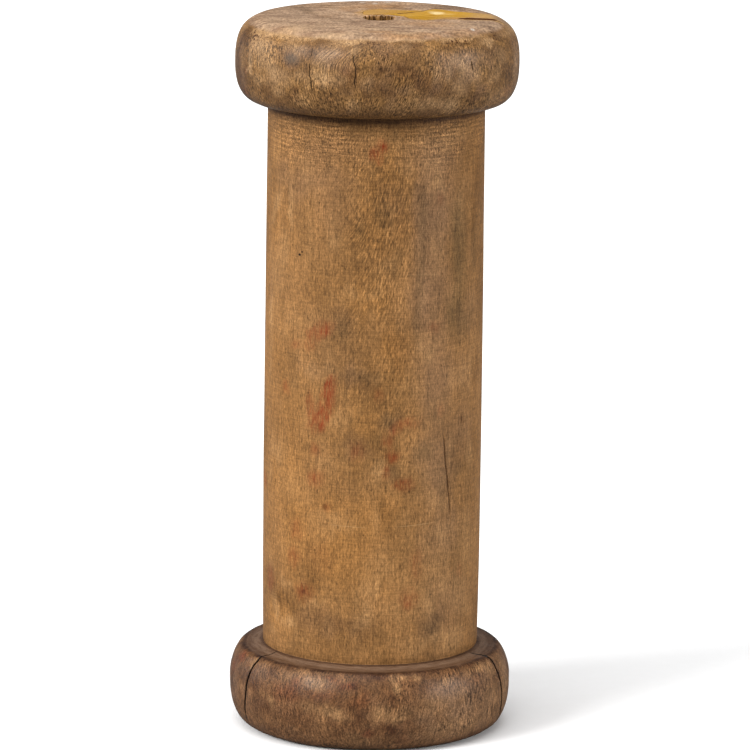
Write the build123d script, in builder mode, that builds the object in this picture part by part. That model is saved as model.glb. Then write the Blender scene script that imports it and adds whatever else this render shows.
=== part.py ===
from build123d import *
import os

os.makedirs("parts", exist_ok=True)

# Old wooden mill spool: a bored barrel with a turned spigot at each end, glued into
# two thick round-edged heads. The top head has a radial split with hardened filler in it.
# Millimetres. Origin: centre of the foot, where the bottom head stands. +Z along the spool.

# ---- driving dimensions ----
spool_height = 250.0         # foot to the flat top face
bore_r = 5.3                 # spindle hole, right through

top_head_r = 49.1
top_head_t = 29.4
top_under_round = (9.6, 14.5)    # rounding of the inner edge: radial, axial
top_under_power = 2.58
top_face_round = (12.6, 14.9)    # rounding of the outer edge
top_face_power = 2.69

foot_head_r = 49.2
foot_head_t = 29.4           # up to the shoulder where the barrel starts
foot_ring_drop = 0.85        # the shoulder ring falls this much towards its outer edge
foot_base_round = (10.2, 17.5)
foot_base_power = 2.70
foot_ring_round = (5.1, 11.05)
foot_ring_power = 1.69

barrel_top_r = 37.5
barrel_foot_r = 37.6
barrel_swell_r = 38.0        # the barrel is fullest about 50 mm above the foot head

spigot_r = 22.0              # barrel end that goes into the head
spigot_len = 17.0
glue_gap = 0.08              # radial room for glue round the spigot
glue_pool = 0.3              # room left at the socket's floor
spigot_chamfer = 1.0

filler_depth = 3.0           # how far down the filler goes into the split
filler_ridge = 1.2           # how far the filler stands proud of the top face

# ---- derived levels ----
foot_shoulder_z = foot_head_t
top_shoulder_z = spool_height - top_head_t
filler_floor_z = spool_height - filler_depth


def rounded_edge(cr, cz, a, b, power, quarter, count=11):
    """Points of one quarter of a super-ellipse about (cr, cz).
    quarter "lower" runs from the bottom out to the side, "upper" from the side up."""
    import math
    pts = []
    for i in range(count):
        f = i / (count - 1)
        t = math.pi / 2 * (1 - f) if quarter == "lower" else math.pi / 2 * f
        c, s = abs(math.cos(t)), abs(math.sin(t))
        k = (c ** power + s ** power) ** (-1 / power)
        pts.append((cr + a * c * k, cz - b * s * k if quarter == "lower" else cz + b * s * k))
    if quarter == "lower":
        pts[0], pts[-1] = (cr, cz - b), (cr + a, cz)
    else:
        pts[0], pts[-1] = (cr + a, cz), (cr, cz + b)
    return pts


# outer profile of the top head, from its underside to its flat face
top_side_z = top_shoulder_z + top_under_round[1]
top_lower = rounded_edge(top_head_r - top_under_round[0], top_side_z,
                         top_under_round[0], top_under_round[1], top_under_power, "lower")
top_upper = rounded_edge(top_head_r - top_face_round[0], top_side_z,
                         top_face_round[0], spool_height - top_side_z, top_face_power, "upper")

# outer profile of the foot head, from its base to the shoulder ring
foot_side_z = foot_base_round[1]
foot_lower = rounded_edge(foot_head_r - foot_base_round[0], foot_side_z,
                          foot_base_round[0], foot_base_round[1], foot_base_power, "lower")
foot_upper = rounded_edge(foot_head_r - foot_ring_round[0], foot_side_z,
                          foot_ring_round[0], foot_shoulder_z - foot_ring_drop - foot_side_z,
                          foot_ring_power, "upper")

# the split in the top face, seen from above: torn out behind the spindle hole,
# it runs with the grain to the rim on the +X side
split_outline = [
    (-5.0, 5.2), (-2.2, 6.3), (1.5, 6.6), (4.8, 5.4), (6.8, 3.6), (8.8, 2.2), (10.6, -1.8), (13.0, -4.6),
    (16.5, -6.6), (19.0, -4.9), (23.4, -2.2), (30.0, -4.2), (36.0, -4.8), (41.0, -5.2), (45.4, -5.0),
    (46.2, -1.5), (45.0, 1.5), (41.4, 4.2), (38.4, 7.4), (33.0, 10.0), (27.0, 10.6), (22.0, 11.6),
    (18.5, 14.5), (14.5, 15.5), (10.5, 15.8), (5.9, 16.6), (0.7, 17.2), (-4.1, 14.6), (-5.6, 9.5),
]
# crest of the filler, where it stands proud of the face: its foot and its top
crest_foot = [(9.0, 4.4), (12.0, 0.2), (18.0, -3.0), (25.0, -0.8), (32.0, 1.2), (36.5, 4.6),
              (33.0, 8.4), (27.0, 9.6), (21.8, 10.6), (18.4, 10.6), (14.5, 8.4), (10.5, 7.2)]
crest_top = [(15.8, 6.6), (16.6, 5.6), (18.4, 4.9), (20.6, 5.0), (22.8, 5.7), (24.6, 6.9),
             (24.0, 8.0), (22.6, 8.7), (20.8, 9.5), (19.2, 9.7), (17.8, 8.9), (16.6, 7.8)]

# ---- barrel: swelled drum with a chamfered spigot at each end, bored through ----
foot_spigot_z = foot_shoulder_z - spigot_len
top_spigot_z = top_shoulder_z + spigot_len
with BuildPart() as barrel:
    with BuildSketch(Plane.XZ):
        with BuildLine():
            Polyline((bore_r, foot_spigot_z), (spigot_r - spigot_chamfer, foot_spigot_z),
                     (spigot_r, foot_spigot_z + spigot_chamfer), (spigot_r, foot_shoulder_z),
                     (barrel_foot_r, foot_shoulder_z))
            Spline((barrel_foot_r, foot_shoulder_z), (37.83, 50.0), (barrel_swell_r, 78.0),
                   (37.9, 125.0), (37.73, 175.0), (barrel_top_r, top_shoulder_z))
            Polyline((barrel_top_r, top_shoulder_z), (spigot_r, top_shoulder_z),
                     (spigot_r, top_spigot_z - spigot_chamfer), (spigot_r - spigot_chamfer, top_spigot_z),
                     (bore_r, top_spigot_z), (bore_r, foot_spigot_z))
        make_face()
    revolve(axis=Axis.Z)
barrel.part.label = "barrel"
export_step(barrel.part, "parts/barrel.step")

# ---- foot head: round-edged disc, shoulder ring round the barrel, socket for the spigot ----
with BuildPart() as bottom_head:
    with BuildSketch(Plane.XZ):
        with BuildLine():
            Polyline((bore_r, 0.0), foot_lower[0])
            Spline(foot_lower, tangents=((1, 0), (0, 1)))
            Spline(foot_upper)
            Polyline(foot_upper[-1], (barrel_foot_r, foot_shoulder_z), (bore_r, foot_shoulder_z), (bore_r, 0.0))
        make_face()
    revolve(axis=Axis.Z)
    with BuildSketch(Plane.XY.offset(foot_shoulder_z)):
        Circle(spigot_r + glue_gap)
    extrude(amount=-(spigot_len + glue_pool), mode=Mode.SUBTRACT)
bottom_head.part.label = "bottom_head"
export_step(bottom_head.part, "parts/bottom_head.step")

# ---- top head: round-edged disc, socket from below, split cut into its face ----
with BuildPart() as top_head:
    with BuildSketch(Plane.XZ):
        with BuildLine():
            Polyline((bore_r, top_shoulder_z), top_lower[0])
            Spline(top_lower, tangents=((1, 0), (0, 1)))
            Spline(top_upper, tangents=((0, 1), (-1, 0)))
            Polyline(top_upper[-1], (bore_r, spool_height), (bore_r, top_shoulder_z))
        make_face()
    revolve(axis=Axis.Z)
    with BuildSketch(Plane.XY.offset(top_shoulder_z)):
        Circle(spigot_r + glue_gap)
    extrude(amount=spigot_len + glue_pool, mode=Mode.SUBTRACT)
    with BuildSketch(Plane.XY.offset(filler_floor_z)):
        with BuildLine():
            Polyline(split_outline, close=True)
        make_face()
    extrude(amount=filler_depth + 5.0, mode=Mode.SUBTRACT)
top_head.part.label = "top_head"
export_step(top_head.part, "parts/top_head.step")

# ---- filler: fills the split flush with the rounded rim, with a low crest in the middle ----
with BuildPart() as split_filler:
    with BuildSketch(Plane.XZ):
        with BuildLine():
            Polyline((0.0, top_side_z), top_upper[0])
            Spline(top_upper, tangents=((0, 1), (-1, 0)))
            Polyline(top_upper[-1], (0.0, spool_height), (0.0, top_side_z))
        make_face()
    revolve(axis=Axis.Z)
    with BuildSketch(Plane.XY.offset(filler_floor_z)):
        with BuildLine():
            Polyline(split_outline, close=True)
        make_face()
    extrude(amount=filler_depth + 5.0, mode=Mode.INTERSECT)
    with BuildSketch(Plane.XY.offset(spool_height - 0.4)):
        with BuildLine():
            Polyline(crest_foot, close=True)
        make_face()
    with BuildSketch(Plane.XY.offset(spool_height + filler_ridge)):
        with BuildLine():
            Polyline(crest_top, close=True)
        make_face()
    loft(ruled=True)
split_filler.part.label = "split_filler"
export_step(split_filler.part, "parts/split_filler.step")

assembly = Compound(label="spool", children=[barrel.part, bottom_head.part, top_head.part, split_filler.part])
box = assembly.bounding_box()
print("size", round(box.size.X, 2), round(box.size.Y, 2), round(box.size.Z, 2), "lowest", round(box.min.Z, 3))
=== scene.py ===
import math

import bpy
import numpy as np
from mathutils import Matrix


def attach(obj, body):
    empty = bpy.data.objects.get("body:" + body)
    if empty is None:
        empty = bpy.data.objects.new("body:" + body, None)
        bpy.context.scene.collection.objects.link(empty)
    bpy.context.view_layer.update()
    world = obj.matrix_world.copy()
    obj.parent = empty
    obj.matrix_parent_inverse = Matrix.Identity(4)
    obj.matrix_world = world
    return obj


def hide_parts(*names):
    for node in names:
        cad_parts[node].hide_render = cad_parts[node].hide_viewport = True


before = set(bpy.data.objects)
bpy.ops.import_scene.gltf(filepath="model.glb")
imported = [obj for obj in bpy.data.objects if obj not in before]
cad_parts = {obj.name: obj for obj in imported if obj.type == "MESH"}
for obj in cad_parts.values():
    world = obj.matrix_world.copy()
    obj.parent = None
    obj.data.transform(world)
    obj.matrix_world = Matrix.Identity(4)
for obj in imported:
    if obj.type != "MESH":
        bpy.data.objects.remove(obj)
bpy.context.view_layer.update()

MM = 0.001
scene = bpy.context.scene
scene.view_settings.view_transform = "Standard"
scene.view_settings.look = "None"
scene.view_settings.exposure = 0.0
scene.view_settings.gamma = 1.0

# ------------------------------------------------------------------ numbers of the spool, in mm
SPOOL_H = 250.0
BORE_R = 5.3
TOP_R, TOP_SHOULDER = 49.1, 220.6
FOOT_R, FOOT_SHOULDER = 49.2, 29.4
SOCKET_R, SPIGOT_R = 22.08, 22.0
SPLIT = [
    (-5.0, 5.2), (-2.2, 6.3), (1.5, 6.6), (4.8, 5.4), (6.8, 3.6), (8.8, 2.2), (10.6, -1.8), (13.0, -4.6),
    (16.5, -6.6), (19.0, -4.9), (23.4, -2.2), (30.0, -4.2), (36.0, -4.8), (41.0, -5.2), (45.4, -5.0),
    (46.2, -1.5), (45.0, 1.5), (41.4, 4.2), (38.4, 7.4), (33.0, 10.0), (27.0, 10.6), (22.0, 11.6),
    (18.5, 14.5), (14.5, 15.5), (10.5, 15.8), (5.9, 16.6), (0.7, 17.2), (-4.1, 14.6), (-5.6, 9.5),
]


# ------------------------------------------------------------------ noise and small helpers
def lattice(ix, iy, iz, seed):
    h = (ix.astype(np.uint64) * np.uint64(73856093)) ^ (iy.astype(np.uint64) * np.uint64(19349663)) \
        ^ (iz.astype(np.uint64) * np.uint64(83492791)) ^ np.uint64(seed * 2654435761 % (1 << 32))
    h &= np.uint64(0xFFFFFFFF)
    h = (h ^ (h >> np.uint64(16))) * np.uint64(0x45D9F3B) & np.uint64(0xFFFFFFFF)
    h = (h ^ (h >> np.uint64(16))) * np.uint64(0x45D9F3B) & np.uint64(0xFFFFFFFF)
    h = h ^ (h >> np.uint64(16))
    return h.astype(np.float64) / 4294967295.0 * 2 - 1


def vnoise(x, y, z, seed=1):
    """Smooth value noise from -1 to 1."""
    x, y, z = np.broadcast_arrays(np.asarray(x, float), np.asarray(y, float), np.asarray(z, float))
    fx, fy, fz = np.floor(x), np.floor(y), np.floor(z)
    tx, ty, tz = x - fx, y - fy, z - fz
    tx, ty, tz = (t * t * t * (t * (t * 6 - 15) + 10) for t in (tx, ty, tz))
    ix, iy, iz = (f.astype(np.int64) + 100000 for f in (fx, fy, fz))
    out = 0.0
    for dx in (0, 1):
        for dy in (0, 1):
            for dz in (0, 1):
                w = (tx if dx else 1 - tx) * (ty if dy else 1 - ty) * (tz if dz else 1 - tz)
                out = out + w * lattice(ix + dx, iy + dy, iz + dz, seed)
    return out


def fbm(x, y, z, seed=1, octaves=3, gain=0.5):
    total, amp, norm = 0.0, 1.0, 0.0
    for k in range(octaves):
        f = 2.0 ** k
        total = total + amp * vnoise(x * f + 17.3 * k, y * f - 9.1 * k, z * f + 5.7 * k, seed + 31 * k)
        norm += amp
        amp *= gain
    return total / norm


def smooth(e0, e1, x):
    t = np.clip((x - e0) / (e1 - e0), 0, 1)
    return t * t * (3 - 2 * t)


def edge_arc(cr, cz, a, b, power, lower, step=0.35):
    """Dense points of a super-elliptic rounded edge, spaced evenly in angle."""
    f = np.linspace(0, 1, 400)
    t = np.pi / 2 * (1 - f) if lower else np.pi / 2 * f
    c, s = np.abs(np.cos(t)), np.abs(np.sin(t))
    k = (c ** power + s ** power) ** (-1 / power)
    return np.c_[cr + a * c * k, cz - b * s * k if lower else cz + b * s * k]


def even(points, step):
    """Resamples a polyline at about step, both ends kept."""
    points = np.asarray(points, float)
    s = np.r_[0, np.cumsum(np.hypot(*np.diff(points, axis=0).T))]
    n = max(1, int(round(s[-1] / step)))
    q = np.linspace(0, s[-1], n + 1)
    return np.c_[np.interp(q, s, points[:, 0]), np.interp(q, s, points[:, 1])]


def chain(*runs):
    """Joins runs end to end, dropping the doubled points."""
    out = [np.asarray(runs[0], float)]
    for r in runs[1:]:
        r = np.asarray(r, float)
        if np.hypot(*(r[0] - out[-1][-1])) < 1e-6:
            r = r[1:]
        out.append(r)
    out = np.concatenate(out)
    if np.hypot(*(out[0] - out[-1])) < 1e-6:
        out = out[:-1]
    return out


def azimuths(count, peaks):
    """count azimuths round the axis, closer together near each (centre degrees, half width, weight)."""
    a = np.linspace(-np.pi, np.pi, 20001)
    w = np.ones_like(a)
    for centre, width, weight in peaks:
        d = (a - math.radians(centre) + np.pi) % (2 * np.pi) - np.pi
        w += weight * np.exp(-(d / math.radians(width)) ** 2)
    c = np.r_[0, np.cumsum((w[1:] + w[:-1]) / 2)]
    c /= c[-1]
    return np.interp(np.arange(count) / count, c, a)


def loop_normals(prof):
    """Outward normals (r, z) of a closed profile that runs up its outer side."""
    ahead = np.roll(prof, -1, axis=0) - prof
    behind = prof - np.roll(prof, 1, axis=0)
    ahead /= np.linalg.norm(ahead, axis=1)[:, None]
    behind /= np.linalg.norm(behind, axis=1)[:, None]
    t = ahead + behind
    t /= np.maximum(np.linalg.norm(t, axis=1)[:, None], 1e-9)
    return np.c_[t[:, 1], -t[:, 0]]


def revolve(name, prof, az, move=None, marks=None):
    """A closed body of revolution. move(A, R, Z, NR, NZ) gives displaced (X, Y, Z); marks(A, R, Z) gives named point
    values.
    """
    nrm = loop_normals(prof)
    A, R = np.meshgrid(az, prof[:, 0], indexing="ij")
    Z = np.broadcast_to(prof[:, 1], A.shape).copy()
    R = R.copy()
    NR = np.broadcast_to(nrm[:, 0], A.shape)
    NZ = np.broadcast_to(nrm[:, 1], A.shape)
    values = marks(A, R, Z) if marks else {}
    if move:
        X, Y, Zd = move(A, R, Z, NR, NZ)
    else:
        X, Y, Zd = R * np.sin(A), -R * np.cos(A), Z
    n, m = A.shape
    co = np.stack([X, Y, Zd], axis=-1).reshape(-1, 3) * MM
    i = np.arange(n)[:, None]
    j = np.arange(m)[None, :]
    i2, j2 = (i + 1) % n, (j + 1) % m
    quads = np.stack([i * m + j, i2 * m + j, i2 * m + j2, i * m + j2], axis=-1).reshape(-1, 4)
    return mesh_object(name, co, quads, values)


def mesh_object(name, co, quads, values=None):
    mesh = bpy.data.meshes.new(name)
    mesh.vertices.add(len(co))
    mesh.vertices.foreach_set("co", np.asarray(co, np.float32).ravel())
    quads = np.asarray(quads, np.int32)
    mesh.loops.add(quads.size)
    mesh.loops.foreach_set("vertex_index", quads.ravel())
    mesh.polygons.add(len(quads))
    mesh.polygons.foreach_set("loop_start", np.arange(len(quads), dtype=np.int32) * quads.shape[1])
    mesh.update(calc_edges=True)
    mesh.validate()
    mesh.shade_smooth()
    for key, v in (values or {}).items():
        at = mesh.attributes.new(key, "FLOAT", "POINT")
        at.data.foreach_set("value", np.asarray(v, np.float32).ravel())
    o = bpy.data.objects.new(name, mesh)
    scene.collection.objects.link(o)
    return o


def path_distance(u, v, path):
    """Distance from points (u, v) to a polyline, and how far along it (0 to 1) the nearest point is."""
    path = np.asarray(path, float)
    best = np.full(np.shape(u), 1e9)
    along = np.zeros(np.shape(u))
    seg = np.hypot(*np.diff(path, axis=0).T)
    total, run = seg.sum(), 0.0
    for (a, b), length in zip(zip(path[:-1], path[1:]), seg):
        d = b - a
        t = np.clip(((u - a[0]) * d[0] + (v - a[1]) * d[1]) / (d @ d), 0, 1)
        q = np.hypot(u - a[0] - t * d[0], v - a[1] - t * d[1])
        near = q < best
        best = np.where(near, q, best)
        along = np.where(near, (run + t * length) / total, along)
        run += length
    return best, along


def polygon_distance(x, y, poly):
    """Signed distance to a closed polygon: negative inside."""
    poly = np.asarray(poly, float)
    closed = np.r_[poly, poly[:1]]
    d, _ = path_distance(x, y, closed)
    inside = np.zeros(np.shape(x), bool)
    for (x0, y0), (x1, y1) in zip(closed[:-1], closed[1:]):
        if y0 == y1:
            continue
        c = ((y0 > y) != (y1 > y)) & (x < (x1 - x0) * (y - y0) / (y1 - y0) + x0)
        inside ^= c
    return np.where(inside, -d, d)


def blots(u, v, spots, period=None):
    """Union of soft ellipses: each spot is (u, v, half width, half height, turn in degrees, strength)."""
    keep = np.ones(np.shape(u))
    for cu, cv, ru, rv, turn, k in spots:
        du = u - cu
        if period:
            du = (du + period / 2) % period - period / 2
        dv = v - cv
        c, s = math.cos(math.radians(turn)), math.sin(math.radians(turn))
        q = np.hypot((du * c + dv * s) / ru, (dv * c - du * s) / rv)
        keep = keep * (1 - k * (1 - smooth(0.15, 1.35, q)))
    return 1 - keep


# ------------------------------------------------------------------ barrel
CRACK_BARREL = [(40.6, 110.0), (41.3, 103.0), (42.6, 96.0), (44.0, 90.0), (45.4, 84.0), (46.0, 78.0), (46.9, 68.0), (47.4, 58.0), (48.6, 48.0)]


# soft patches on the barrel: azimuth in degrees, height, half width and half height in mm, turn, strength
B_DARK = [
    (-58, 52, 12, 9, 0, 0.36), (-40, 51, 8, 6, 0, 0.26), (-68, 38, 5, 5, 0, 0.26), (-40, 36, 6, 4, 0, 0.22), (-25, 36, 7, 4, 0, 0.30), (-66, 70, 8, 8, 0, 0.18), (-40, 108, 8, 8, 0, 0.16), (0, 150, 10, 10, 0, 0.14), (6, 128, 10, 10, 0, 0.12),
    (5, 190, 7, 13, -8, 0.50), (9, 180, 5, 10, 0, 0.35), (8, 171, 4, 7, 0, 0.35), (-8, 182, 3.5, 5, 0, 0.35), (-8, 168, 2.8, 4, 0, 0.40), (0, 198, 5, 6, 0, 0.25),
    (-17, 150, 4, 4, 0, 0.42), (-18, 145, 3, 4, 0, 0.35), (11, 143, 4.5, 4, 0, 0.42), (12, 136, 3.5, 5, 0, 0.35), (-11, 130, 6, 3, 8, 0.35), (1, 128, 6, 3, 0, 0.38), (4, 122, 3, 3, 0, 0.30),
    (8, 116, 3.5, 3, 0, 0.42), (1, 110, 5, 4, 0, 0.42), (-8, 107, 5, 4, 0, 0.38), (-12, 101, 4, 3, 0, 0.30), (11, 103, 3, 4, 0, 0.48), (12, 97, 4, 4, 0, 0.42), (17, 92, 4, 3, 0, 0.42),
    (7, 84, 3.5, 6, 0, 0.45), (9, 77, 3, 5, 0, 0.25), (28, 103, 4, 3, 0, 0.40), (34, 100, 4, 3, 0, 0.20), (-47, 111, 1.0, 4, 0, 0.45), (-30, 111, 3.5, 3, 0, 0.40), (-29, 105, 2, 3, 0, 0.2),
    (-37, 53, 2.6, 3, 0, 0.62), (-32, 58, 4, 6, -20, 0.50), (-36, 64, 3.5, 6, 0, 0.32), (-68, 55, 5, 5, 0, 0.45), (-55, 48, 7, 4, -10, 0.72), (-50, 55, 2.6, 5, -12, 0.35), (-43, 46, 3, 4, -20, 0.35), (-64, 50, 3, 5, 0, 0.25), (-46, 47, 4.5, 3, 0, 0.45), (-76, 50, 4, 7, 0, 0.35),
    (-30, 43, 9, 5, 0, 0.45), (-14, 42, 10, 4.5, 0, 0.48), (0, 40, 9, 3.5, 0, 0.35), (-42, 41, 5, 3, -25, 0.25), (33, 42, 5, 3, 0, 0.40), (22, 43, 4, 4, 0, 0.20), (-35, 71, 1.6, 2.4, 0, 0.35),
    (-60, 198, 4, 5, 0, 0.32), (-45, 198, 3.5, 4, 0, 0.32), (-57, 181, 2.4, 7, 0, 0.32), (-53, 191, 1.8, 4, 0, 0.38), (-36, 190, 2.0, 12, 4, 0.25), (-15, 190, 2.5, 9, 0, 0.12),
    (55, 192, 3, 4, 0, 0.32), (64, 181, 3, 8, 0, 0.38), (70, 196, 7, 16, 0, 0.42), (70, 172, 6, 14, 0, 0.30), (48, 150, 5, 6, 0, 0.35), (54, 113, 1.3, 2.2, 0, 0.55), (70, 128, 4, 8, 0, 0.25),
    (47, 98, 3, 5, 0, 0.25), (55, 100, 5, 6, 0, 0.22), (25, 192, 2.4, 6, 0, 0.25), (23, 165, 2.6, 8, 0, 0.30), (22, 152, 2.4, 6, 0, 0.25), (36, 172, 3, 12, 0, 0.12), (-24, 205, 9, 5, 0, 0.18),
    (-44, 60, 3, 4, 0, 0.2), (-66, 112, 3, 6, 0, 0.2), (-67, 132, 2.4, 7, 0, 0.2), (-38, 158, 9, 6, 0, 0.12), (-24, 85, 1.0, 1.6, 0, 0.5), (-24, 78, 2.2, 0.7, 0, 0.35),
    # round the back
    (100, 95, 9, 14, 0, 0.40), (120, 180, 12, 10, 10, 0.35), (140, 60, 12, 9, 0, 0.45), (165, 130, 10, 16, 0, 0.35), (-165, 190, 10, 12, 0, 0.35), (-140, 90, 10, 14, 0, 0.40), (-110, 160, 9, 16, 0, 0.35),
    (-95, 60, 10, 10, 0, 0.40), (180, 60, 14, 8, 0, 0.30), (108, 130, 4, 10, 0, 0.3), (150, 200, 10, 5, 0, 0.25), (-120, 45, 12, 6, 0, 0.4), (-178, 160, 4, 12, 0, 0.3), (88, 45, 9, 5, 0, 0.3),
]
B_LIGHT = [
    (29, 98, 8, 11, 0, 0.16), (27, 64, 9, 13, 0, 0.20), (27, 203, 8, 9, 0, 0.12),
    (28, 36, 8, 4, 0, 0.25), (38, 37, 6, 4, 0, 0.35), (50, 37, 6, 4, 0, 0.28), (22, 49, 7, 5, 0, 0.14), (48, 68, 8, 8, 0, 0.12), (28, 213, 16, 4, 0, 0.22), (48, 214, 10, 4, 0, 0.20), (0, 214, 12, 3, 0, 0.12), (38, 54, 8, 8, 0, 0.20), (64, 60, 8, 14, 0, 0.15), (50, 188, 7, 6, 0, 0.10), (-68, 212, 7, 4, 0, 0.15),
    (-64, 187, 2.6, 8, -28, 0.60), (-50, 187, 2.0, 9, 0, 0.50), (-57, 171, 5, 7, 0, 0.40), (-70, 149, 3.6, 7, 0, 0.62), (-66, 206, 6, 7, 0, 0.25), (-68, 135, 2.6, 12, 0, 0.30), (-63, 160, 4, 9, 0, 0.25),
    (-12, 161, 2.6, 3, 0, 0.40), (0, 161, 4, 3, 0, 0.28), (6, 170, 3, 3, 0, 0.2), (-20, 177, 4, 3, 0, 0.22), (-38, 202, 4, 4, 0, 0.25), (-35, 132, 4, 3, 0, 0.30), (-18, 116, 5, 5, 0, 0.40),
    (-60, 100, 7, 6, 0, 0.35), (-70, 92, 3, 5, 0, 0.35), (-26, 78, 7, 6, 0, 0.28), (-15, 79, 6, 5, 0, 0.30), (-22, 100, 6, 4, 0, 0.2), (3, 98, 2, 5, -10, 0.42), (2, 80, 2.5, 7, 0, 0.25), (4, 65, 6, 5, 0, 0.20),
    (-50, 56, 4, 2.4, 0, 0.40), (-60, 45, 2.4, 6, 30, 0.60), (-49, 40, 5, 2.2, 28, 0.65), (-56, 67, 4, 3, 0, 0.2), (1, 58, 4, 5, 0, 0.42), (-3, 47, 3, 7, -18, 0.48), (-30, 49, 6, 2, 0, 0.40), (-6, 54, 2.4, 4, -25, 0.35),
    (-64, 37, 4, 3, 0, 0.35), (35, 198, 3.6, 4, 0, 0.48), (30, 205, 5, 6, 0, 0.22), (27, 139, 4, 5, 0, 0.42), (35, 175, 4, 10, 0, 0.18), (40, 76, 5, 6, 0, 0.38), (37, 87, 6, 4, 0, 0.30), (63, 100, 4, 8, 0, 0.32),
    (42, 62, 5, 9, 0, 0.22), (32, 50, 2.5, 4, 0, 0.40), (55, 52, 7, 8, 0, 0.25), (50, 36, 8, 4, 0, 0.34), (63, 45, 5, 5, 0, 0.25), (52, 128, 9, 6, 0, 0.25), (20, 128, 4, 10, 0, 0.15), (60, 72, 6, 10, 0, 0.25),
    (15, 205, 3, 6, 0, 0.2), (38, 118, 4, 5, 0, 0.15), (60, 130, 5, 7, 0, 0.22), (-44, 150, 10, 5, 0, 0.12), (-45, 90, 10, 8, 0, 0.22), (10, 50, 5, 5, 0, 0.12),
    (95, 180, 10, 18, 0, 0.35), (115, 60, 10, 12, 0, 0.35), (140, 120, 9, 20, 0, 0.35), (170, 190, 9, 14, 0, 0.30), (-150, 50, 10, 12, 0, 0.35), (-160, 140, 6, 22, 0, 0.35), (-120, 110, 10, 18, 0, 0.3), (-95, 190, 8, 16, 0, 0.35),
]
B_GOLD = [
    (-28, 82, 24, 13, 0, 0.75), (-50, 95, 20, 12, 0, 0.55), (-38, 66, 22, 12, 0, 0.50), (-10, 70, 14, 14, 0, 0.50), (-58, 43, 10, 8, 0, 0.70), (-45, 112, 26, 10, 0, 0.20), (0, 56, 12, 10, 0, 0.35),
    (-4, 158, 9, 8, 0, 0.50), (10, 142, 6, 8, 0, 0.55), (-6, 116, 9, 8, 0, 0.30), (6, 84, 8, 8, 0, 0.45), (-60, 180, 10, 16, 0, 0.50), (-66, 207, 9, 9, 0, 0.45), (-30, 160, 18, 20, 0, 0.22), (66, 205, 8, 14, 0, 0.45),
    (13, 134, 5, 12, 0, 0.35), (12, 204, 10, 8, 0, 0.30), (-14, 100, 8, 8, 0, 0.35), (-60, 130, 12, 24, 0, 0.30), (68, 60, 8, 24, 0, 0.25), (2, 185, 14, 14, 0, 0.20), (120, 90, 20, 30, 0, 0.4), (-130, 60, 20, 20, 0, 0.5), (180, 110, 20, 25, 0, 0.4),
]
B_GREY = [
    (33, 190, 9, 26, 0, 0.70), (32, 160, 9, 22, 0, 0.62), (34, 128, 9, 20, 0, 0.62), (37, 98, 9, 14, 0, 0.55), (42, 76, 8, 12, 0, 0.50), (45, 50, 12, 14, 0, 0.28), (24, 190, 4, 16, 0, 0.30), (24, 158, 4, 14, 0, 0.45),
    (26, 104, 5, 7, 0, 0.45), (8, 190, 5, 9, 0, 0.28), (8, 116, 4, 4, 0, 0.40), (12, 97, 4, 4, 0, 0.35), (-6, 130, 8, 4, 0, 0.30), (-12, 132, 4, 5, 0, 0.25), (-8, 106, 6, 5, 0, 0.30), (-42, 195, 8, 7, 0, 0.40), (-32, 200, 12, 7, 0, 0.35),
    (-58, 199, 5, 5, 0, 0.30), (-22, 190, 10, 16, 0, 0.28), (-30, 43, 10, 6, 0, 0.35), (-12, 42, 10, 5, 0, 0.35), (-68, 55, 5, 6, 0, 0.40), (-70, 155, 3, 8, 0, 0.35), (-34, 132, 8, 4, 0, 0.25), (56, 108, 9, 12, 0, 0.40),
    (52, 130, 10, 10, 0, 0.22), (34, 42, 7, 6, 0, 0.35), (60, 150, 7, 10, 0, 0.35), (24, 208, 10, 8, 0, 0.35), (45, 210, 12, 7, 0, 0.30), (-20, 209, 16, 6, 0, 0.30), (-18, 150, 5, 6, 0, 0.2), (30, 70, 6, 10, 0, 0.25),
    (150, 160, 14, 30, 0, 0.5), (-170, 80, 14, 24, 0, 0.45), (105, 150, 9, 24, 0, 0.35), (-100, 120, 8, 26, 0, 0.3), (130, 40, 20, 8, 0, 0.4),
]
# blue-green darkening
B_COOL = [
    (48, 186, 4.2, 10, 0, 0.50), (50, 176, 4.8, 12, 0, 0.62), (51, 164, 5.0, 12, 0, 0.58), (48, 152, 5.5, 9, 0, 0.58), (53, 146, 5, 7, 0, 0.35), (44, 150, 3, 8, 0, 0.35), (25, 168, 2.4, 12, 0, 0.38), (23, 150, 2.4, 9, 0, 0.32), (26, 186, 2.6, 12, 0, 0.38),
    (4, 188, 4, 7, 0, 0.34), (11, 172, 2.6, 6, 0, 0.30), (-8, 182, 2.4, 4, 0, 0.34), (28, 104, 4.4, 4, 0, 0.45), (8, 116, 3, 3, 0, 0.40), (13, 98, 4, 4, 0, 0.30), (3, 110, 4, 3, 0, 0.28), (34, 42, 5, 4, 0, 0.35), (-17, 147, 3.4, 5, 0, 0.30),
    (-4, 131, 8, 2.6, 0, 0.28), (40, 92, 3, 6, 0, 0.20), (65, 172, 3, 12, 0, 0.30), (60, 150, 4, 8, 0, 0.25), (52, 96, 5, 3, 0, 0.25), (30, 118, 5, 8, 0, 0.14), (33, 150, 3, 7, 0, 0.22), (36, 190, 2, 9, 0, 0.12),
    (140, 175, 6, 26, 0, 0.5), (-155, 110, 6, 24, 0, 0.4),
]
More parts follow.
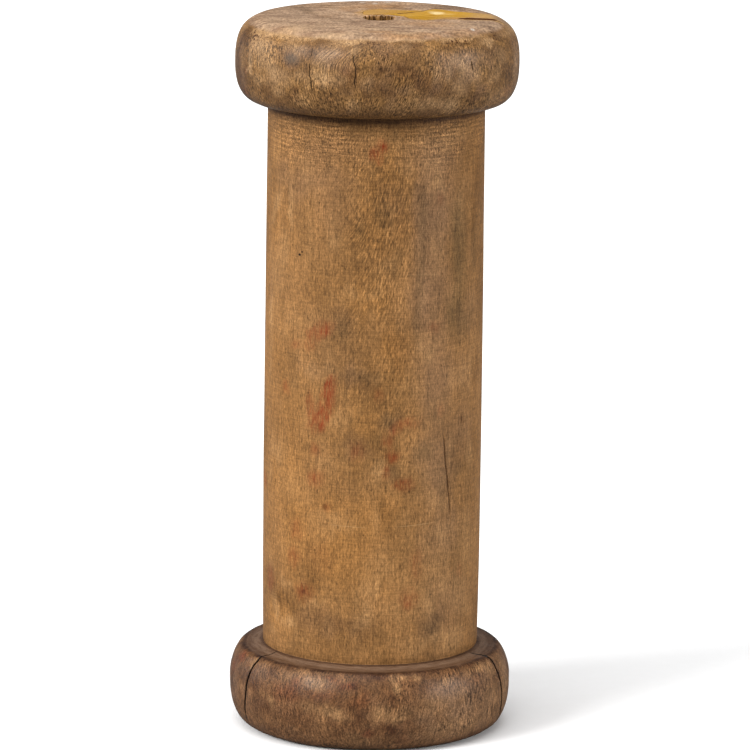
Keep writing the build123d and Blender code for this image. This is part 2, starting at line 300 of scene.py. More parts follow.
B_RED = [
    (-33, 144.2, 3.6, 2.6, 12, 0.45), (-27, 146.6, 4.4, 2.8, 14, 0.66), (-45, 139.8, 3.0, 2.2, 10, 0.35), (-35, 140.5, 3.0, 2.0, 0, 0.35),
    (-22.5, 127, 2.0, 4.5, -16, 0.70), (-24.5, 122, 3.0, 6.0, -14, 0.80), (-27.5, 116.5, 3.6, 5.0, -10, 0.82), (-34.5, 119.0, 2.2, 5.2, 0, 0.66), (-30.5, 112.3, 4.0, 2.8, 0, 0.60), (-31, 104, 2.4, 3.0, 0, 0.30),
    (-31, 94, 4.0, 3.2, 0, 0.42), (-52, 124, 2.4, 3.4, 0, 0.30), (-43, 75, 3.6, 4.5, 0, 0.30), (-44, 65, 3.2, 4.2, 0, 0.35), (2.6, 210.8, 2.4, 3.2, -10, 0.74), (1.6, 206.4, 1.7, 2.6, 0, 0.60), (-0.8, 208.6, 1.6, 2.4, 0, 0.5),
    (12, 113.0, 3.6, 2.6, 14, 0.30), (20, 114.6, 4.6, 2.4, 8, 0.40), (8, 108.5, 2.2, 3.2, 0, 0.36), (11, 103.5, 3.0, 2.6, 0, 0.42), (7, 97.5, 1.6, 2.6, 0, 0.45), (17, 93.0, 3.8, 2.6, 0, 0.40), (-24, 84.5, 2.0, 2.0, 0, 0.35),
    (24, 64, 3.2, 6.0, 0, 0.28), (21, 52, 3.4, 4.0, 0, 0.34), (-79, 88, 3.5, 3.2, 0, 0.55), (-37, 53.5, 5.0, 4.2, 0, 0.34), (-68, 54, 4.4, 4.4, 0, 0.35), (38, 118, 2.4, 2.4, 0, 0.22), (33, 148, 3.0, 3.0, 0, 0.20), (36, 192, 1.4, 3, 0, 0.25),
    (54, 60, 1.6, 3, 0, 0.25), (-8, 105, 3, 4, 0, 0.25), (3, 125, 2.2, 3, 0, 0.25), (-28, 66, 6, 5, 0, 0.12),
    (96, 150, 3.5, 8, 0, 0.55), (-146, 118, 3, 9, 0, 0.6), (-120, 180, 4, 3, 20, 0.4), (160, 80, 4, 3, 0, 0.4), (128, 112, 2.4, 5, 0, 0.35),
]
B_FIGURE = [
    (0, 195, 12, 22, 0, 0.85), (1, 176, 11, 22, 0, 0.75), (4, 160, 10, 14, 0, 0.70), (10, 138, 8, 12, 0, 0.60), (8, 120, 9, 10, 0, 0.45), (4, 98, 8, 14, 0, 0.30), (-12, 212, 6, 5, 0, 0.30), (-14, 148, 6, 10, 0, 0.40),
    (-8, 124, 8, 10, 0, 0.35), (2, 56, 5, 12, -12, 0.35), (16, 190, 8, 26, 0, 0.35), (20, 110, 6, 14, 0, 0.25), (-54, 205, 6, 8, 0, 0.35), (60, 125, 8, 10, 0, 0.30), (170, 150, 14, 50, 0, 0.75), (-150, 80, 10, 20, 0, 0.4), (110, 70, 10, 20, 0, 0.4),
]


def barrel_marks(A, R, Z):
    """Point values that tint the barrel: each is a soft, slightly ragged mask."""
    X, Y = R * np.sin(A), -R * np.cos(A)
    period = 2 * math.pi * 37.7
    u = A * 37.7
    n1 = fbm(X / 5.0, Y / 5.0, Z / 8.0, 301, 3, 0.6)
    n2 = fbm(X / 5.0, Y / 5.0, Z / 8.0, 302, 3, 0.6)
    n3 = fbm(X / 1.7, Y / 1.7, Z / 3.2, 303, 3, 0.6)
    n4 = fbm(X / 1.7, Y / 1.7, Z / 3.2, 304, 3, 0.6)
    uw, vw = u + 2.6 * n1 + 1.0 * n3, Z + 4.4 * n2 + 2.0 * n4
    us, vs = u + 0.8 * n1 + 0.6 * n3, Z + 1.6 * n2 + 1.2 * n4
    k = 37.7 * math.pi / 180
    mm = lambda spots: [(a * k,) + tuple(rest) for a, *rest in spots]
    skin = (R > 30) * 1.0
    streak = fbm(X / 0.9, Y / 0.9, Z / 26, 305, 3, 0.6)
    patch = fbm(X / 7, Y / 7, Z / 13, 306, 4, 0.62)
    patch2 = fbm(X / 3.0, Y / 3.0, Z / 6.5, 307, 4, 0.65)
    dark = blots(uw, vw, mm(B_DARK), period)
    light = blots(uw, vw, mm(B_LIGHT), period)
    values = {
        "m_dark": np.clip(dark * (1 + 0.5 * patch2 + 0.35 * streak) + 0.20 * smooth(0.10, 0.62, patch) + 0.10 * smooth(0.15, 0.6, patch2), 0, 1),
        "m_light": np.clip(light * (1 + 0.45 * patch2 - 0.6 * streak) + 0.18 * smooth(0.10, 0.62, -patch) + 0.10 * smooth(0.15, 0.6, -patch2), 0, 1),
        "m_gold": np.clip(blots(uw, vw, mm(B_GOLD), period) + 0.22 * fbm(X / 16, Y / 16, Z / 24, 308, 2), 0, 1),
        "m_grey": np.clip(blots(uw, vw, mm(B_GREY), period) + 0.22 * fbm(X / 12, Y / 12, Z / 24, 309, 3), 0, 1),
        "m_cool": np.clip(blots(us, vs, mm(B_COOL), period) * (1 + 0.3 * streak), 0, 1),
        "m_red": np.clip(blots(us, vs, mm(B_RED), period) * (1.0 + 0.9 * n3), 0, 1),
        "m_figure": np.clip(blots(uw, vw, mm(B_FIGURE), period) + 0.10 + 0.25 * patch, 0, 1),
        "m_warp": np.clip(0.5 + 0.5 * n1, 0, 1),
    }
    return {key: v * skin for key, v in values.items()}


def barrel_piece():
    side = np.array([(37.6, 29.4), (37.83, 50.0), (38.0, 78.0), (37.9, 125.0), (37.73, 175.0), (37.5, 220.6)])
    z = np.r_[np.linspace(29.4, 31.0, 5)[:-1], np.linspace(31.0, 200.0, 140)[:-1], np.linspace(200.0, 220.6, 46)]
    # smooth curve through the side's points
    from_z = np.polyfit(side[:, 1] / 125 - 1, side[:, 0], 4)
    outer = np.c_[np.polyval(from_z, z / 125 - 1), z]
    outer[0, 0] -= 0.12
    prof = chain(
        outer,
        even([(37.5, 220.6), (SPIGOT_R, 220.6)], 4), even([(SPIGOT_R, 220.6), (SPIGOT_R, 236.6)], 4),
        [(SPIGOT_R, 236.6), (21.0, 237.6)], even([(21.0, 237.6), (BORE_R, 237.6)], 4),
        even([(BORE_R, 237.6), (BORE_R, 12.4)], 12), even([(BORE_R, 12.4), (21.0, 12.4)], 4),
        [(21.0, 12.4), (SPIGOT_R, 13.4)], even([(SPIGOT_R, 13.4), (SPIGOT_R, 29.4)], 4), even([(SPIGOT_R, 29.4), (37.48, 29.4)], 4),
    )
    az = azimuths(400, [(45, 6, 5.0)])

    def crack(A, Z):
        u, v = np.degrees(A) * 0.6545, Z                 # mm along the surface
        path = [(a * 0.6545, zz) for a, zz in CRACK_BARREL]
        wob = 0.12 * vnoise(0 * v, 0 * v, v / 2.2, 5)
        d, s = path_distance(u + wob, v, path)
        width = 0.10 + 0.16 * smooth(0.0, 0.12, s) * (1 - smooth(0.40, 0.62, s)) + 0.03 * vnoise(v / 3, 0 * v, 0 * v, 8)
        return np.clip(1 - d / (width * 1.5), 0, 1) * smooth(0, 0.03, s) * (1 - smooth(0.90, 1.0, s)) * (1 - 0.72 * smooth(0.36, 0.56, s))

    def move(A, R, Z, NR, NZ):
        X, Y = R * np.sin(A), -R * np.cos(A)
        skin = smooth(30, 36, R)
        h = 0.10 * fbm(X / 45, Y / 45, Z / 70, 3, 2) + 0.05 * fbm(X / 9, Y / 9, Z / 30, 4, 2)
        # flattish wear facets left by thread and hands
        h += -0.10 * np.clip(fbm(X / 16, Y / 16, Z / 26, 12, 2) - 0.25, 0, 1)
        # turning ridges next to the top head
        h += 0.035 * np.sin(Z * 2 * np.pi / 1.55 + 1.3 * vnoise(X / 20, Y / 20, Z / 5, 9)) * smooth(203, 209, Z) * (0.6 + 0.4 * vnoise(X / 9, Y / 9, Z / 3, 10))
        h -= 0.55 * crack(A, Z)
        h = h * skin
        return (R + h) * np.sin(A), -(R + h) * np.cos(A), Z

    return revolve("barrel_turned", prof, az, move, lambda A, R, Z: {"crack": crack(A, Z) * (R > 30), **barrel_marks(A, R, Z)})


# ------------------------------------------------------------------ heads
TOP_SIDE = TOP_SHOULDER + 14.5
FOOT_CRACKS = [
    # azimuth and height of each crack's course, its width and depth in mm
    ([(-58.4, 29.2), (-57.4, 27.3), (-59.2, 25.2), (-59.7, 21.9), (-60.7, 16.5), (-62.2, 11.0), (-63.4, 6.3), (-63.6, 4.8)], 0.55, 1.8),
    ([(64.6, 28.9), (66.4, 27.7), (67.3, 23.9), (68.7, 19.5), (70.5, 15.4), (71.3, 9.9), (73.4, 4.8), (74.2, 3.0)], 0.62, 1.9),
    ([(151.0, 28.6), (150.0, 24.0), (151.5, 18.0), (150.6, 12.0), (152.0, 8.0)], 0.30, 1.1),
    ([(-148.0, 20.0), (-147.2, 14.0), (-148.6, 8.0), (-148.0, 4.0)], 0.22, 0.8),
]
TOP_CRACKS = [
    ([(-10.0, 243.6), (-9.4, 241.3), (-8.4, 238.8), (-8.8, 234.4), (-8.1, 231.2)], 0.17, 0.50),
    ([(-27.9, 239.8), (-27.8, 237.0), (-27.2, 234.0), (-26.8, 231.5), (-26.2, 229.5)], 0.17, 0.45),
    ([(-27.6, 244.8), (-27.6, 242.0)], 0.13, 0.2),
    ([(40.7, 240.3), (41.0, 238.6), (41.4, 236.9)], 0.21, 0.5),
    ([(128.0, 247.6), (127.2, 243.0), (128.4, 237.0), (127.6, 231.0), (128.5, 227.0)], 0.32, 1.2),
    ([(-120.0, 246.5), (-119.0, 241.0), (-119.8, 236.0)], 0.2, 0.6),
]


def rim_cracks(A, R, Z, cracks, radius=49.0):
    """0 to 1 in each crack, and its depth, on the rounded side of a head."""
    total, depth = np.zeros(A.shape), np.zeros(A.shape)
    k = math.radians(1) * radius
    for path, width, deep in cracks:
        u, v = np.degrees(A) * k, Z
        p = [(a * k, z) for a, z in path]
        wob = 0.16 * vnoise(0 * v, 0 * v + path[0][0], v / 1.7, 21)
        d, s = path_distance(u + wob, v, p)
        taper = smooth(-0.02, 0.08, s) * (1 - smooth(0.75, 1.02, s))
        near = np.clip(1 - d / (width * (0.35 + 0.65 * taper)), 0, 1) * smooth(30, 40, R)
        total = np.maximum(total, np.clip(1.7 * (1.28 - d / (width * (0.35 + 0.65 * taper))), 0, 1) * smooth(30, 40, R))
        depth = np.maximum(depth, deep * near * taper)
    return total, depth


# soft patches on the rims: azimuth in degrees, height, half width and half height in mm, turn, strength.
# The light and grey tables also hold painted sheen where the softboxes glint on the rims; the top's dark table also
# holds painted shade at the rim's far left and right and low down.
T_LIGHT_AND_SHEEN = [
    (36, 247.6, 9, 0.9, 0, 0.45), (-63, 247.4, 5, 1.6, 0, 0.35), (54, 245.9, 4.4, 1.9, 0, 0.62), (60, 240.5, 5, 3.5, 0, 0.25), (-20, 243.6, 5, 2.2, 0, 0.38), (-35, 243.6, 5, 2.0, 0, 0.25), (-21, 240, 4, 2, 0, 0.20), (41, 236, 6, 4, 0, 0.30), (55, 235, 5, 4, 0, 0.20), (41, 240.5, 4, 2, 0, 0.16), (75, 234, 5, 8, 0, 0.15),
    (25, 224.5, 14, 3, 0, 0.22), (60, 225, 12, 4, 0, 0.22), (20, 227, 10, 3, 0, 0.18), (-32, 226.5, 5, 3, 0, 0.14), (-70, 237, 4, 5, 0, 0.10),
    (-50, 247.9, 17, 1.5, 0, 0.85), (-28, 248.6, 12, 1.3, 0, 0.80), (-12, 248.2, 8, 1.3, 0, 0.70), (4, 248.8, 8, 0.9, 0, 0.75), (18, 248.4, 8, 1.0, 0, 0.70), (33, 248.2, 8, 0.9, 0, 0.60), (48, 248.4, 7, 1.0, 0, 0.50),
    (-56, 244, 8, 3.4, 0, 0.50), (-52, 239, 7, 4, 0, 0.35), (-46, 235, 4.6, 4.5, 0, 0.45), (-40, 234, 4, 3.4, 0, 0.30), (-33, 235.4, 3.4, 2.8, 0, 0.30), (-22, 235.2, 4.6, 3.2, 0, 0.62), (-24, 240, 3, 4, 0, 0.22), (-15, 236, 3, 3, 0, 0.2),
    (-61.5, 236.5, 1.4, 5.5, 0, 0.60), (-64.5, 233.4, 1.6, 1.2, 0, 0.60), (-55, 232, 5, 2.4, 0, 0.25), (-38, 245.5, 6, 1.6, 0, 0.22), (-17, 246.4, 5, 1.3, 0, 0.30), (-44, 229, 3, 2.5, 0, 0.30), (-29, 233, 2, 3, 0, 0.2),
    (-9.5, 244.6, 1.5, 2.6, -22, 0.45), (36.5, 238.2, 2.4, 3.4, 0, 0.45), (29.5, 237.0, 1.7, 4.0, 0, 0.36), (33, 241, 4, 2, 0, 0.22), (24, 238, 2, 4, 0, 0.22), (35, 231, 3.4, 3.4, 0, 0.35), (32, 225.4, 3.4, 3.4, 0, 0.45), (25, 227, 4, 2.5, 0, 0.2),
    (-3, 234, 2.4, 3, 0, 0.20), (12, 231, 4, 2, 0, 0.18), (11, 245.6, 3, 2, 0, 0.22), (22, 244, 4, 2.4, 0, 0.14), (-10, 226.5, 2.4, 3, 15, 0.3), (6, 225, 4, 2, 0, 0.12), (53, 233, 4, 2.4, 0, 0.18), (50, 246, 4, 1.6, 0, 0.2),
    (90, 246.8, 22, 1.8, 0, 0.6), (130, 247.4, 18, 1.8, 0, 0.7), (175, 247.8, 22, 1.6, 0, 0.7), (-135, 247.4, 20, 1.8, 0, 0.7), (-95, 246.6, 14, 1.6, 0, 0.5),
    (105, 236, 6, 5, 0, 0.4), (140, 234, 6, 6, 0, 0.45), (175, 238, 6, 5, 0, 0.4), (-155, 233, 8, 5, 0, 0.4), (-120, 238, 6, 6, 0, 0.4), (-95, 234, 5, 5, 0, 0.35),
]
T_DARK_AND_SHADE = [
    (10, 231, 4, 2.6, 0, 0.40), (-52, 240, 4, 2, 0, 0.16), (25, 243.5, 4, 2, 0, 0.22), (-64, 239.5, 3, 3, 0, 0.22),
    (-37.8, 240.2, 4.4, 2.6, 0, 0.35), (3, 244.0, 4.6, 2.4, 0, 0.42), (2.5, 239.6, 3.6, 2.0, 0, 0.52), (10.5, 238.6, 3.0, 2.2, 0, 0.62), (14.5, 236.4, 3.2, 2.6, 0, 0.62), (17.5, 233.6, 2.6, 3.4, 0, 0.50), (8, 236, 4, 3, 0, 0.30), (6, 231, 6, 3, 0, 0.30),
    (-4.6, 229.4, 2.0, 2.8, 0, 0.45), (-1.0, 237, 2.2, 5, 0, 0.30), (-9.0, 237, 1.2, 5, 0, 0.35), (23, 232.5, 2.6, 3.0, 0, 0.35), (-35.2, 229.0, 2.0, 3.2, 0, 0.50), (-37.6, 227.0, 1.0, 2.6, 0, 0.45), (-52, 228.2, 5, 2.8, 0, 0.30), (-20, 229, 6, 3, 0, 0.22),
    (-73, 243.5, 6, 5, 0, 0.55), (-68, 240, 4, 5, 0, 0.38), (-77, 236, 6, 8, 0, 0.50), (-74, 228, 8, 7, 0, 0.50), (-66, 233, 3, 5, 0, 0.30), (-63, 229, 3.4, 3, 0, 0.2), (-66, 246.2, 3.0, 1.4, 0, 0.50), (61, 241.6, 5, 2.2, 0, 0.45), (62, 246.6, 4, 1.6, 0, 0.50), (66, 234, 6, 6, 0, 0.42), (59, 238, 4, 5, 0, 0.22),
    (69.5, 233.4, 1.4, 3.0, 0, 0.45), (44, 228.5, 7, 3.0, 0, 0.28), (52, 243.6, 4, 2.4, 0, 0.25), (38, 246.2, 3.2, 0.8, 0, 0.35), (33.5, 246.5, 2.0, 0.8, 0, 0.30), (29, 245.6, 2.4, 1.0, 0, 0.35), (16, 246.2, 4, 0.9, 0, 0.35), (-4, 246.8, 5, 0.8, 0, 0.40), (-58.8, 246.9, 1.5, 0.6, 0, 0.70),
    (-27, 243, 3, 2, 0, 0.18), (-46, 243.6, 5, 1.4, 0, 0.22), (75, 243, 4, 3, 0, 0.22), (50, 226, 10, 2.4, 0, 0.2), (20, 240.6, 3, 3, 0, 0.22), (-12, 233, 3, 2, 0, 0.15),
    (100, 242, 7, 3, 0, 0.5), (122, 232, 6, 5, 0, 0.5), (155, 243, 8, 3, 0, 0.45), (160, 229, 9, 3, 0, 0.45), (-170, 240, 6, 4, 0, 0.4), (-140, 240, 7, 3, 0, 0.5), (-110, 229, 9, 4, 0, 0.5), (-100, 242, 5, 3, 0, 0.45), (85, 233, 6, 4, 0, 0.4),
]
T_GREY_AND_SHEEN = [
    (-19, 243.2, 6, 2.6, 0, 0.60), (-20, 240.2, 4.4, 2.4, 0, 0.45), (-35, 243, 7, 2.4, 0, 0.35), (-37, 240, 4.4, 2.6, 0, 0.55), (-12, 240, 3, 3, 0, 0.3), (38, 240, 5.4, 3.2, 0, 0.65), (28, 238.4, 5, 3.8, 0, 0.52), (41, 235.5, 4, 3, 0, 0.5), (30, 241.6, 5, 2.4, 0, 0.35),
    (3, 244, 5, 3, 0, 0.25), (-76, 240, 6, 8, 0, 0.40), (-72, 229, 6, 6, 0, 0.30), (77, 237, 5, 10, 0, 0.45), (46, 230, 6, 4, 0, 0.4), (24, 234, 3, 4, 0, 0.35), (50, 240, 4, 4, 0, 0.25), (110, 240, 8, 6, 0, 0.4), (-150, 238, 9, 6, 0, 0.4), (-100, 236, 8, 8, 0, 0.4), (170, 234, 8, 6, 0, 0.35),
]
T_RED = [(-66, 233.6, 2, 1.4, 0, 0.3), (-71, 225.4, 4, 1.8, 0, 0.35), (68, 227, 6, 3, 0, 0.28), (20, 236, 1.4, 3, 0, 0.2), (-12, 238, 3, 3, 0, 0.14), (140, 228, 6, 2, 0, 0.3), (-130, 235, 3, 4, 0, 0.3)]
F_LIGHT_AND_SHEEN = [
    (40, 7, 22, 5, 0, 0.30), (24, 16, 7, 6, 0, 0.30), (60, 17, 6, 5, 0, 0.22), (10, 13.5, 4, 3, 0, 0.40), (-20, 13, 4, 2.4, 0, 0.25), (0, 4, 30, 3.4, 0, 0.16),
    (46, 12, 20, 8, 0, 0.26), (68, 12, 10, 9, 0, 0.20), (74, 24, 6, 4, 0, 0.35), (77, 15, 5, 8, 0, 0.35), (62, 24, 5, 3, 0, 0.2), (34, 17, 9, 5, 0, 0.18), (-50, 8, 10, 5, 0, 0.10),
    (-16, 15.0, 6.0, 2.4, 0, 0.55), (-12.5, 13.8, 2.4, 2.6, 0, 0.50), (-25, 16.2, 4, 3, 0, 0.30), (5.2, 15.6, 3.6, 2.8, 0, 0.65), (3, 13, 3, 2.4, 0, 0.32), (13, 13.4, 4.0, 1.8, 0, 0.48), (14, 16, 4, 2, 0, 0.28), (-9, 13.0, 3, 1.4, 0, 0.32), (-43.6, 16.6, 1.9, 1.9, 0, 0.55), (-43, 14, 1.2, 3, 0, 0.3),
    (-60.5, 25.0, 2.0, 1.6, -30, 0.75), (-58.6, 27.2, 1.2, 1.6, 0, 0.70), (-28, 25.0, 5, 2.2, 0, 0.40), (-22, 24.0, 3.4, 2.2, 0, 0.45), (-36, 25.4, 6, 1.8, 0, 0.20), (-38, 23, 4, 2, 0, 0.2), (11, 23.8, 1.3, 2.8, 0, 0.62), (14.5, 26.4, 1.8, 1.0, 0, 0.60), (20.5, 26.6, 2.2, 1.0, 0, 0.58), (9.6, 26.4, 1.0, 1.6, 0, 0.4),
    (55, 26.0, 3.4, 1.6, 0, 0.50), (62, 24.8, 3.4, 2.2, 0, 0.35), (47, 25, 4, 2, 0, 0.25), (34, 24.2, 3.0, 1.6, 0, 0.42), (31, 18.5, 4, 3.4, 0, 0.22), (40, 20, 4, 4, 0, 0.2), (72, 15, 4, 5, 0, 0.3), (-52, 26.4, 5, 1.4, 0, 0.10), (-49, 18, 3, 1.6, 0, 0.2), (-20, 9, 5, 3, 0, 0.12), (32, 9, 5, 2.4, 0, 0.18), (-66, 17, 3, 2, 0, 0.2),
    (95, 16, 12, 4, 0, 0.45), (128, 14, 6, 4, 0, 0.4), (165, 17, 10, 4, 0, 0.45), (-160, 14, 8, 4, 0, 0.45), (-125, 18, 9, 4, 0, 0.45), (-95, 14, 8, 4, 0, 0.4), (110, 26, 8, 1.4, 0, 0.4), (-140, 26, 9, 1.4, 0, 0.4),
]
F_DARK = [
    (-77, 15, 5, 11, 0, 0.40), (-60, 24.4, 7, 2.6, 0, 0.28), (-47, 25, 6, 2.4, 0, 0.30), (-32, 11, 8, 4, 0, 0.22), (-50, 14, 6, 4, 0, 0.15),
    (1, 27.6, 8, 1.2, 0, 0.50), (-6, 25.0, 4, 2, 0, 0.20), (12, 27.8, 5, 0.8, 0, 0.40),
    (9.2, 10.0, 3.6, 2.8, 0, 0.72), (12.6, 7.8, 3.2, 2.0, 0, 0.62), (9.2, 20.2, 1.3, 3.2, 0, 0.62), (7.6, 13.0, 1.2, 2.4, 0, 0.35), (-56, 20.5, 4.6, 3.2, 0, 0.50), (-62, 21.5, 3.4, 3.6, 0, 0.35), (-68, 20.5, 4.0, 2.6, 0, 0.45), (-52.5, 11.5, 4, 4, 0, 0.40), (-45, 12.6, 3.4, 3, 0, 0.30), (-46, 5, 6, 1.4, 0, 0.38),
    (-8, 18.6, 4.0, 2.6, 0, 0.30), (-12.6, 20.4, 2.4, 2.8, 0, 0.26), (-4.6, 14.6, 1.4, 2.6, 0, 0.45), (1.4, 26.6, 3.6, 1.6, 0, 0.45), (5, 27.2, 3, 1.0, 0, 0.40), (50, 27.6, 4, 0.9, 0, 0.6), (40, 27.5, 5, 0.8, 0, 0.4), (63, 27.5, 4, 0.8, 0, 0.5), (52.4, 9.2, 1.5, 1.6, 0, 0.45), (34, 21, 1.4, 2.4, 0, 0.2), (24, 12, 3, 2, 0, 0.2),
    (-5, 11.5, 3.6, 3.0, 0, 0.28), (-1.4, 21, 2, 4, 0, 0.25), (10, 4.6, 6, 2.0, 0, 0.42), (-30, 5, 6, 2.0, 0, 0.2), (-15, 6.5, 5, 2, 0, 0.2), (66, 21, 4, 3, 0, 0.22), (64, 10, 4, 4, 0, 0.3), (71, 25, 3, 2, 0, 0.2), (-24, 27.6, 4, 0.6, 0, 0.4), (-36, 27.6, 5, 0.7, 0, 0.25), (27, 27.4, 6, 0.6, 0, 0.4), (-33, 19, 5, 4, 0, 0.15),
    (100, 22, 8, 3, 0, 0.5), (118, 10, 7, 4, 0, 0.45), (145, 22, 8, 4, 0, 0.5), (175, 9, 9, 4, 0, 0.45), (-145, 20, 7, 4, 0, 0.5), (-110, 10, 8, 4, 0, 0.5), (-88, 22, 6, 3, 0, 0.45), (-170, 24, 8, 2.4, 0, 0.4), (85, 9, 6, 4, 0, 0.35),
]
F_GREY_AND_SHEEN = [(44, 14, 20, 9, 0, 0.45), (44, 6, 24, 5, 0, 0.40), (60, 24, 8, 4, 0, 0.30), (33, 20, 7, 5, 0, 0.60), (27, 22, 4, 4, 0, 0.35), (42, 13, 5, 4, 0, 0.40), (38, 24, 4, 2, 0, 0.45), (-23, 24.6, 4.4, 2.4, 0, 0.50), (-60, 14, 6, 5, 0, 0.25), (-73, 16, 5, 8, 0, 0.40), (76, 20, 5, 7, 0, 0.40), (-50, 24, 6, 3, 0, 0.2), (24, 11, 4, 3, 0, 0.35), (140, 14, 8, 5, 0, 0.4), (-130, 12, 8, 5, 0, 0.4), (170, 22, 10, 4, 0, 0.4)]
F_RED = [(-72, 25.8, 4.4, 2.2, 0, 0.72), (-78, 22, 4, 4, 0, 0.4), (-9, 24.2, 4.4, 1.8, 0, 0.52), (-16, 26.0, 3.4, 1.2, 0, 0.35), (0, 8.2, 2.2, 2.2, 0, 0.52), (-36, 20, 7, 4, 0, 0.35), (-20, 21, 6, 3, 0, 0.25), (-3, 19.5, 4, 3, 0, 0.25), (-31, 24, 4, 2, 0, 0.3), (15, 5, 4, 2, 0, 0.2), (50, 24, 3, 2, 0, 0.15), (120, 25, 6, 2, 0, 0.5), (-150, 8, 4, 3, 0, 0.5), (160, 13, 3, 3, 0, 0.3)]
# and on the end face: x, y, half sizes, turn, strength
E_LIGHT = [
    (-31, -33, 11, 6, 35, 0.55), (-40, -22, 5, 4, 50, 0.50), (-18, -42, 12, 4, 12, 0.62), (-5, -46, 10, 2.4, 0, 0.50), (14, -45, 9, 2.6, -12, 0.40), (0, -31, 10, 4, 0, 0.30), (9, -38, 6, 3, 0, 0.40), (-24, -24, 9, 5, 0, 0.22), (10, -20, 8, 3, 0, 0.12), (22, -17, 9, 4, 0, 0.20), (-20, -41, 8, 4, 10, 0.35), (30, -15, 8, 3, 0, 0.25), (14, -43, 6, 2, 0, 0.15),
    (-12, -24, 8, 4, 0, 0.15), (6, -11, 6, 3, 0, 0.22), (-40, -10, 4, 5, 0, 0.10), (8, 33, 8, 3, 0, 0.25), (-16, 20, 4, 6, 0, 0.15), (34, -39, 4, 2, 40, 0.35), (-6, 4, 2, 7, 0, 0.35),
]
E_DARK = [
    (-36, -14, 5, 3.4, 0, 0.30), (-25, 13, 3.2, 8, 12, 0.45), (-22, 6, 3.4, 4, 0, 0.35), (-20, -4, 3.4, 3, 0, 0.30), (-10, -12, 6, 3.4, 0, 0.36), (2, -16, 2.4, 3.4, 0, 0.40), (-5.5, -43, 2.2, 4, -10, 0.60), (10.5, -27, 6, 3.4, 0, 0.32), (27, -37, 5, 3.4, 38, 0.55), (33, -32, 3, 3, 0, 0.40), (14, -42.5, 2.0, 2.0, 0, 0.35), (3, -26, 5, 1.6, 0, 0.25),
    (26, 26, 9, 7, -40, 0.65), (39, 16, 4, 8, 35, 0.55), (43, -2, 3, 8, 0, 0.30), (-30, 22, 6, 8, -40, 0.50), (-38, 12, 4, 6, 0, 0.25), (6, 27, 1.8, 7, 18, 0.50), (-18, 26, 2.4, 5, 0, 0.35), (-12, 29, 2, 3, 0, 0.35), (22, -4, 2.4, 2.4, 0, 0.35), (40, -22, 6, 6, 0, 0.30), (-43, -6, 3, 7, 0, 0.22), (-30, -17, 5, 2, 0, 0.18), (20, -30, 6, 2, 0, 0.25), (0, -38, 3, 1.2, 0, 0.25),
    (10, 18, 1.6, 3.4, 0, 0.40), (33.8, -30, 1.5, 2.2, 0, 0.75), (-10, 36, 10, 2, 0, 0.25), (6.5, 22, 2.2, 8, 8, 0.40), (-25, 11, 3.6, 7, 10, 0.35), (-5, -43.5, 2.6, 3.6, -10, 0.45), (8, -41, 6, 2.4, 0, 0.22), (31, -34, 6, 4, 25, 0.28), (21, 26, 6, 5, 0, 0.25), (0, 19, 6, 3, 0, 0.18), (-20, 24, 4, 6, 0, 0.30), (-16, -9, 5, 2, -35, 0.25), (-17, -4, 13, 1.8, -52, 0.30), (-2, -26, 12, 1.6, -28, 0.25), (-9, -14, 5, 2, -20, 0.22),
]
E_WARM = [(0, 24, 9, 9, 0, 0.85), (6, 23, 3, 7, 10, 0.6), (18, -15, 12, 6, 0, 0.60), (8, -41, 8, 3, 0, 0.75), (16, -38, 6, 3, 0, 0.6), (30, -33, 8, 4, 20, 0.75), (0, -37, 6, 2, 0, 0.5), (20, -22, 8, 3, 0, 0.4), (-12, 18, 3, 8, 0, 0.4), (-6, 8, 3, 8, 0, 0.5), (8, -43, 10, 4, 0, 0.55), (-34, -32, 10, 6, 35, 0.5), (2, -36, 8, 3, 0, 0.45), (-18, 0, 4, 4, 0, 0.2), (-10, 20, 4, 8, 0, 0.35), (26, -28, 7, 3, 0, 0.25), (-18, 25, 4, 6, 0, 0.35), (8, 28, 5, 6, 0, 0.3), (40, -38, 6, 3, 40, 0.4)]
E_GREY = [(35, -14, 11, 9, 0, 0.60), (-30, 0, 12, 12, 0, 0.40), (-26, 14, 6, 9, 0, 0.50), (26, 26, 10, 8, -40, 0.80), (39, 15, 5, 9, 35, 0.60), (-32, 20, 7, 9, -40, 0.60), (14, 26, 6, 7, 0, 0.40), (-6, -42, 3, 5, 0, 0.45), (0, -24, 8, 3, 0, 0.30), (-8, -14, 7, 5, 0, 0.25), (30, -33, 8, 3, 0, 0.3)]


